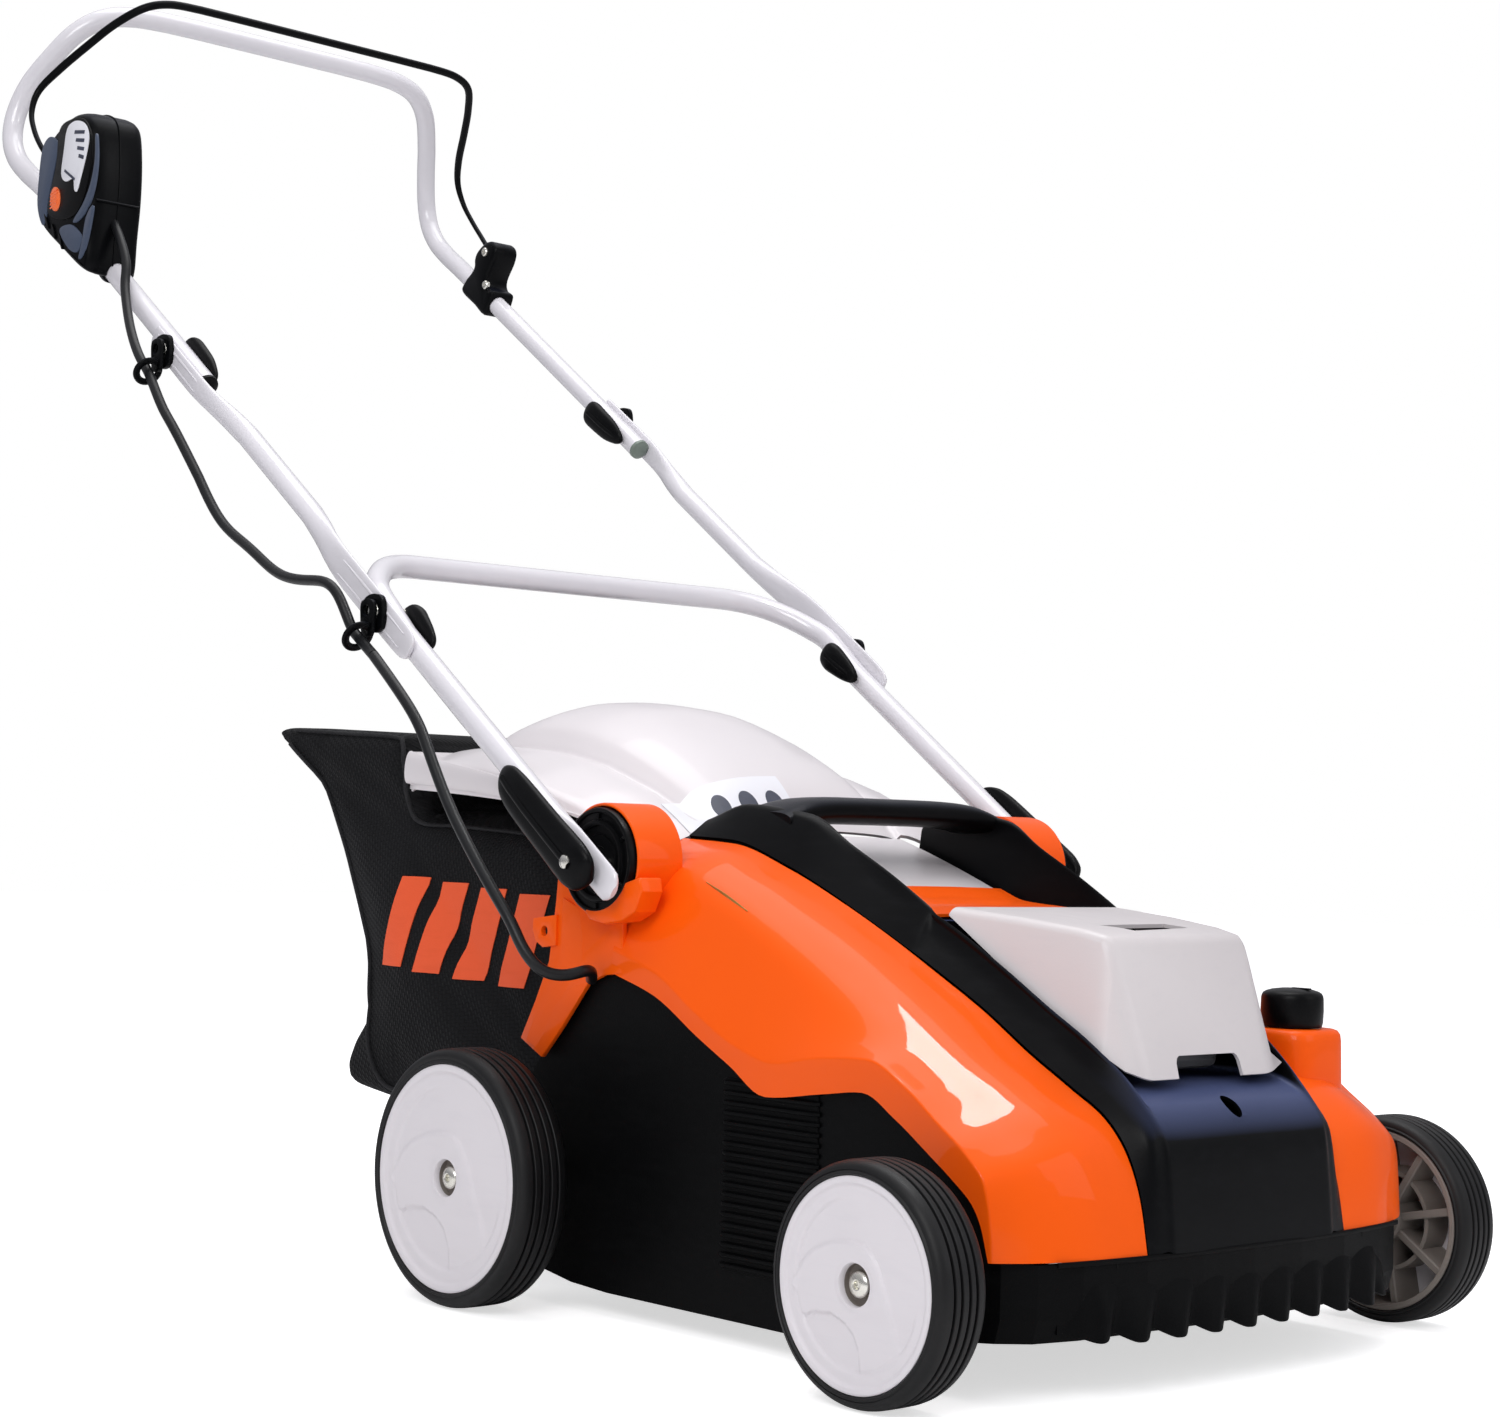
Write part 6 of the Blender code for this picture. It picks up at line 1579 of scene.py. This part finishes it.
# Outline along and across the tube.
PIVOT = ((-0.033, -0.012), (-0.01, -0.0128), (0.017, -0.012), (0.0185, 0.0), (0.015, 0.01),
         (0.014, 0.018), (0.018, 0.024), (0.019, 0.033), (0.012, 0.047), (0.002, 0.053),
         (-0.008, 0.051), (-0.0125, 0.04), (-0.013, 0.02), (-0.02, 0.013), (-0.032, 0.012))
PIVOT_LEVELS = ((0.2515, 0.0048), (0.2508, 0.0026), (0.2494, 0.0008), (0.2475, 0.0),
                (0.2255, 0.0), (0.2236, 0.0008), (0.2222, 0.0026), (0.2215, 0.0048))
pivot_loop = round_loop([box_yz(*p) for p in PIVOT])
pivot_box = cut(inset_body(pivot_loop, PIVOT_LEVELS, 55), grip_channel(1))
piece("pivot_shell", shade(pivot_box, 40), BLACK_SATIN, "upper_handle", "pivot_box")
for n, spot in enumerate(((0.004, 0.04), (-0.018, 0.014)), 1):
    screw = revolve([(0, 0.001), (0.0012, 0.001), (0.0016, 0.0022), (0.0034, 0.002),
                     (0.0044, 0.001), (0.0046, -0.002), (0, -0.002)], 32)
    piece(f"pivot_screw_{n}", moved(screw, at(0.2212, *box_yz(*spot), RIGHT)), ZINC,
          "upper_handle")

# ================================================================ switch bail
BAIL = ((0.245, 1.1015, 0.9205), (0.248, 1.1224, 0.94), (0.2475, 1.1402, 0.96),
        (0.2444, 1.1526, 0.98), (0.2375, 1.154, 1.001), (0.2262, 1.1376, 1.02),
        (0.2127, 1.1109, 1.04), (0.199, 1.086, 1.058), (0.182, 1.064, 1.072),
        (0.16, 1.056, 1.0785), (0.13, 1.0545, 1.08))
bail_path = mirrored(catmull(BAIL, 7) + [Vector((x, 1.054, 1.08)) for x in (0.09, 0.045, 0.0)])


def bail_size(i, t):
    return 0.0024 + 0.0013 * ease(min(t, 1 - t), 0.1, 0.26)


piece("bail_wire", sweep(bail_path, bail_size, 20), BLACK_SATIN, "bail", "switch_bail")

# ================================================================ cable and clips
CABLE_X = -0.264
RING_R = 0.01
CLIP_TAB = [(0.006, 0.007), (-0.008, 0.007), (-0.009, -0.006), (-0.007, -0.0185),
            (0.004, -0.0185), (0.007, -0.006)]
for level, joint, _ in JOINTS:
    centre = Vector((CABLE_X, joint[0], joint[1] - 0.02))
    ring_path = [centre + Vector((RING_R * math.cos(a), 0, 0)) + ACROSS * RING_R * math.sin(a)
                 for a in (math.tau * k / 40 for k in range(41))]
    ring = sweep(ring_path, (0.0019, 0.003), 14, 0.8, ALONG)
    tab = plate(round_loop(CLIP_TAB), 0.0034, circle(0.0045, 20), edge=0.0006)
    piece(f"{level}_cable_ring", joined(ring, moved(tab, at(-0.256, *joint))), BLACK_SATIN,
          f"{level}_handle", f"cable_clip_{level}")


def cable(level, points):
    """A run of cable along a smoothed path from the start to the end point, fixed in the world."""
    path = catmull(points, 8)
    for _ in range(12):
        inner = [(a + b * 2 + c) / 4 for a, b, c in zip(path, path[1:], path[2:])]
        path = [path[0]] + inner + [path[-1]]
    obj = piece(f"cable_run_{level}", sweep(path, 0.0041, 16), CABLE, None, f"cable_{level}",
                ride=False)
    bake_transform(obj)


upper_y, upper_z = UPPER_JOINT
lower_y, lower_z = LOWER_JOINT
upper_to_middle = (-0.265, 0.7961, 0.6111)
middle_to_lower = (-0.269, 0.5305, 0.4579)
cable("upper",
      [(-0.24, 0.999, 0.856), (-0.242, 0.986, 0.842), (-0.244, 0.966, 0.8142),
       (-0.248, 0.9609, 0.7954), (-0.253, 0.9468, 0.7728), (-0.259, 0.9273, 0.748),
       (-0.264, 0.9031, 0.7231), (CABLE_X, upper_y, upper_z - 0.0195), (-0.266, 0.87, 0.6905),
       (-0.267, 0.8545, 0.673), (-0.2668, 0.8392, 0.6582), (-0.266, 0.8251, 0.643),
       upper_to_middle])
cable("middle",
      [upper_to_middle, (-0.264, 0.7611, 0.5722), (-0.265, 0.7143, 0.5491),
       (-0.268, 0.6687, 0.5259), (-0.269, 0.6298, 0.5184), (-0.268, 0.5898, 0.5142),
       (CABLE_X, lower_y + 0.01, lower_z - 0.012), (CABLE_X, lower_y, lower_z - 0.02),
       (CABLE_X, lower_y - 0.01, lower_z - 0.027), middle_to_lower])
cable("lower",
      [middle_to_lower, (-0.273, 0.4951, 0.4341), (-0.274, 0.4646, 0.4082),
       (-0.2745, 0.4465, 0.3824), (-0.2745, 0.4229, 0.3485), (-0.2745, 0.3951, 0.3175),
       (-0.274, 0.3688, 0.2906), (-0.272, 0.3499, 0.2701), (-0.269, 0.3382, 0.2509),
       (-0.26, 0.3281, 0.237), (-0.244, 0.3209, 0.2345), (-0.229, 0.3158, 0.2387),
       (-0.215, 0.331, 0.231)])


# ================================================================ stage, light and camera
def floor():
    bm = bmesh.new()
    bmesh.ops.create_grid(bm, x_segments=2, y_segments=2, size=9.0)
    mesh = mesh_from(bm)
    mesh.name = "floor"
    n = new_material("floor_paper", (0.9, 0.9, 0.9))
    cloud = n.remap(n.noise(scale=1.3, detail=2.0), to=(0.0, 0.3))
    base = n.mix(cloud, (0.9, 0.9, 0.9), (0.88, 0.88, 0.885))
    # The paper glows for the camera only, so it runs into the backdrop.
    camera_ray = n.node("ShaderNodeLightPath").outputs["Is Camera Ray"]
    glow = n.math("MULTIPLY", camera_ray, 0.62)
    mesh.materials.append(n.finish(
        Base_Color=base, Roughness=n.remap(n.noise(scale=2.0), to=(0.85, 0.95)),
        Emission_Color=(1.0, 1.0, 1.0), Emission_Strength=glow))
    obj = bpy.data.objects.new("floor", mesh)
    obj.location.z = -0.0005
    bpy.context.scene.collection.objects.link(obj)


# Room colour by height, from straight down (0) to straight up (1).
SKY = ((0.0, (0.36, 0.36, 0.37)), (0.46, (0.24, 0.24, 0.25)), (0.56, (0.3, 0.3, 0.325)),
       (0.75, (0.55, 0.55, 0.58)), (1.0, (0.78, 0.77, 0.8)))


def studio():
    """A room for the reflections, and plain white for the camera."""
    world = bpy.data.worlds.new("studio")
    bpy.context.scene.world = world
    n = Shader(world)
    up = n.xyz(n.coord.outputs["Generated"])["Z"]
    height = n.math("MULTIPLY_ADD", up, 0.5, 0.5)    # -1..1 to 0..1
    ramp = n.node("ShaderNodeValToRGB", {"Fac": height})
    ramp.color_ramp.interpolation = "EASE"
    while len(ramp.color_ramp.elements) < len(SKY):
        ramp.color_ramp.elements.new(0.5)
    for element, (position, colour) in zip(ramp.color_ramp.elements, SKY):
        element.position = position
        element.color = (*colour, 1)
    camera_ray = n.node("ShaderNodeLightPath").outputs["Is Camera Ray"]
    background = n.tree.nodes["Background"]
    n.feed(background.inputs["Color"], n.mix(camera_ray, ramp.outputs["Color"], (1, 1, 1)))
    background.inputs["Strength"].default_value = 1.0


def area(name, where, aim, size, power):
    light = bpy.data.lights.new(name, "AREA")
    light.shape = "RECTANGLE"
    light.size, light.size_y = size
    light.energy = power
    obj = bpy.data.objects.new(name, light)
    obj.location = where
    obj.rotation_euler = (Vector(aim) - Vector(where)).to_track_quat("-Z", "Y").to_euler()
    bpy.context.scene.collection.objects.link(obj)
    return obj


def window():
    """A small softbox placed to be mirrored to the camera by the right side cover."""
    aim = seen(COVER_TREE, (-0.17, 0.023, 0.193), lift=0.0)
    glance = (aim - EYE).normalized()
    _, normal, _, _ = COVER_TREE.find_nearest(aim)
    if normal.dot(glance) > 0:
        normal = -normal
    bounce = (glance - 2 * glance.dot(normal) * normal).normalized()
    light = area("window", where=tuple(aim + bounce * 1.1 + TO_WORLD),
                 aim=tuple(aim + TO_WORLD), size=(0.112, 0.115), power=1.9)
    light.visible_diffuse = False


def camera():
    data = bpy.data.cameras.new("camera")
    data.lens = 65.51
    data.sensor_width = 36
    data.clip_start, data.clip_end = 0.05, 60
    obj = bpy.data.objects.new("camera", data)
    bpy.context.scene.collection.objects.link(obj)
    ahead, right = Vector((0.668, 0.7427, 0.04538)), Vector((0.7427, -0.6696, 0.02707))
    ahead.normalize()
    right = (right - ahead * right.dot(ahead)).normalized()
    pose = Matrix((right, right.cross(ahead), -ahead)).transposed().to_4x4()
    x, y, z = EYE_PLACE
    pose.translation = Vector((x, y + ORIGIN_Y, z))
    obj.matrix_world = pose
    bpy.context.scene.camera = obj


floor()
studio()
area("key", where=(-2.3, -1.7, 1.9), aim=(0, -0.1, 0.25), size=(1.5, 1.2), power=34)
area("top", where=(0.2, 0.0, 2.6), aim=(0, 0, 0.2), size=(2.0, 1.6), power=26)
window()
area("front", where=(0.9, -2.4, 1.2), aim=(0, -0.3, 0.2), size=(1.0, 1.4), power=6)
camera()
bpy.context.scene.view_settings.view_transform = "Standard"
bpy.context.scene.view_settings.look = "None"
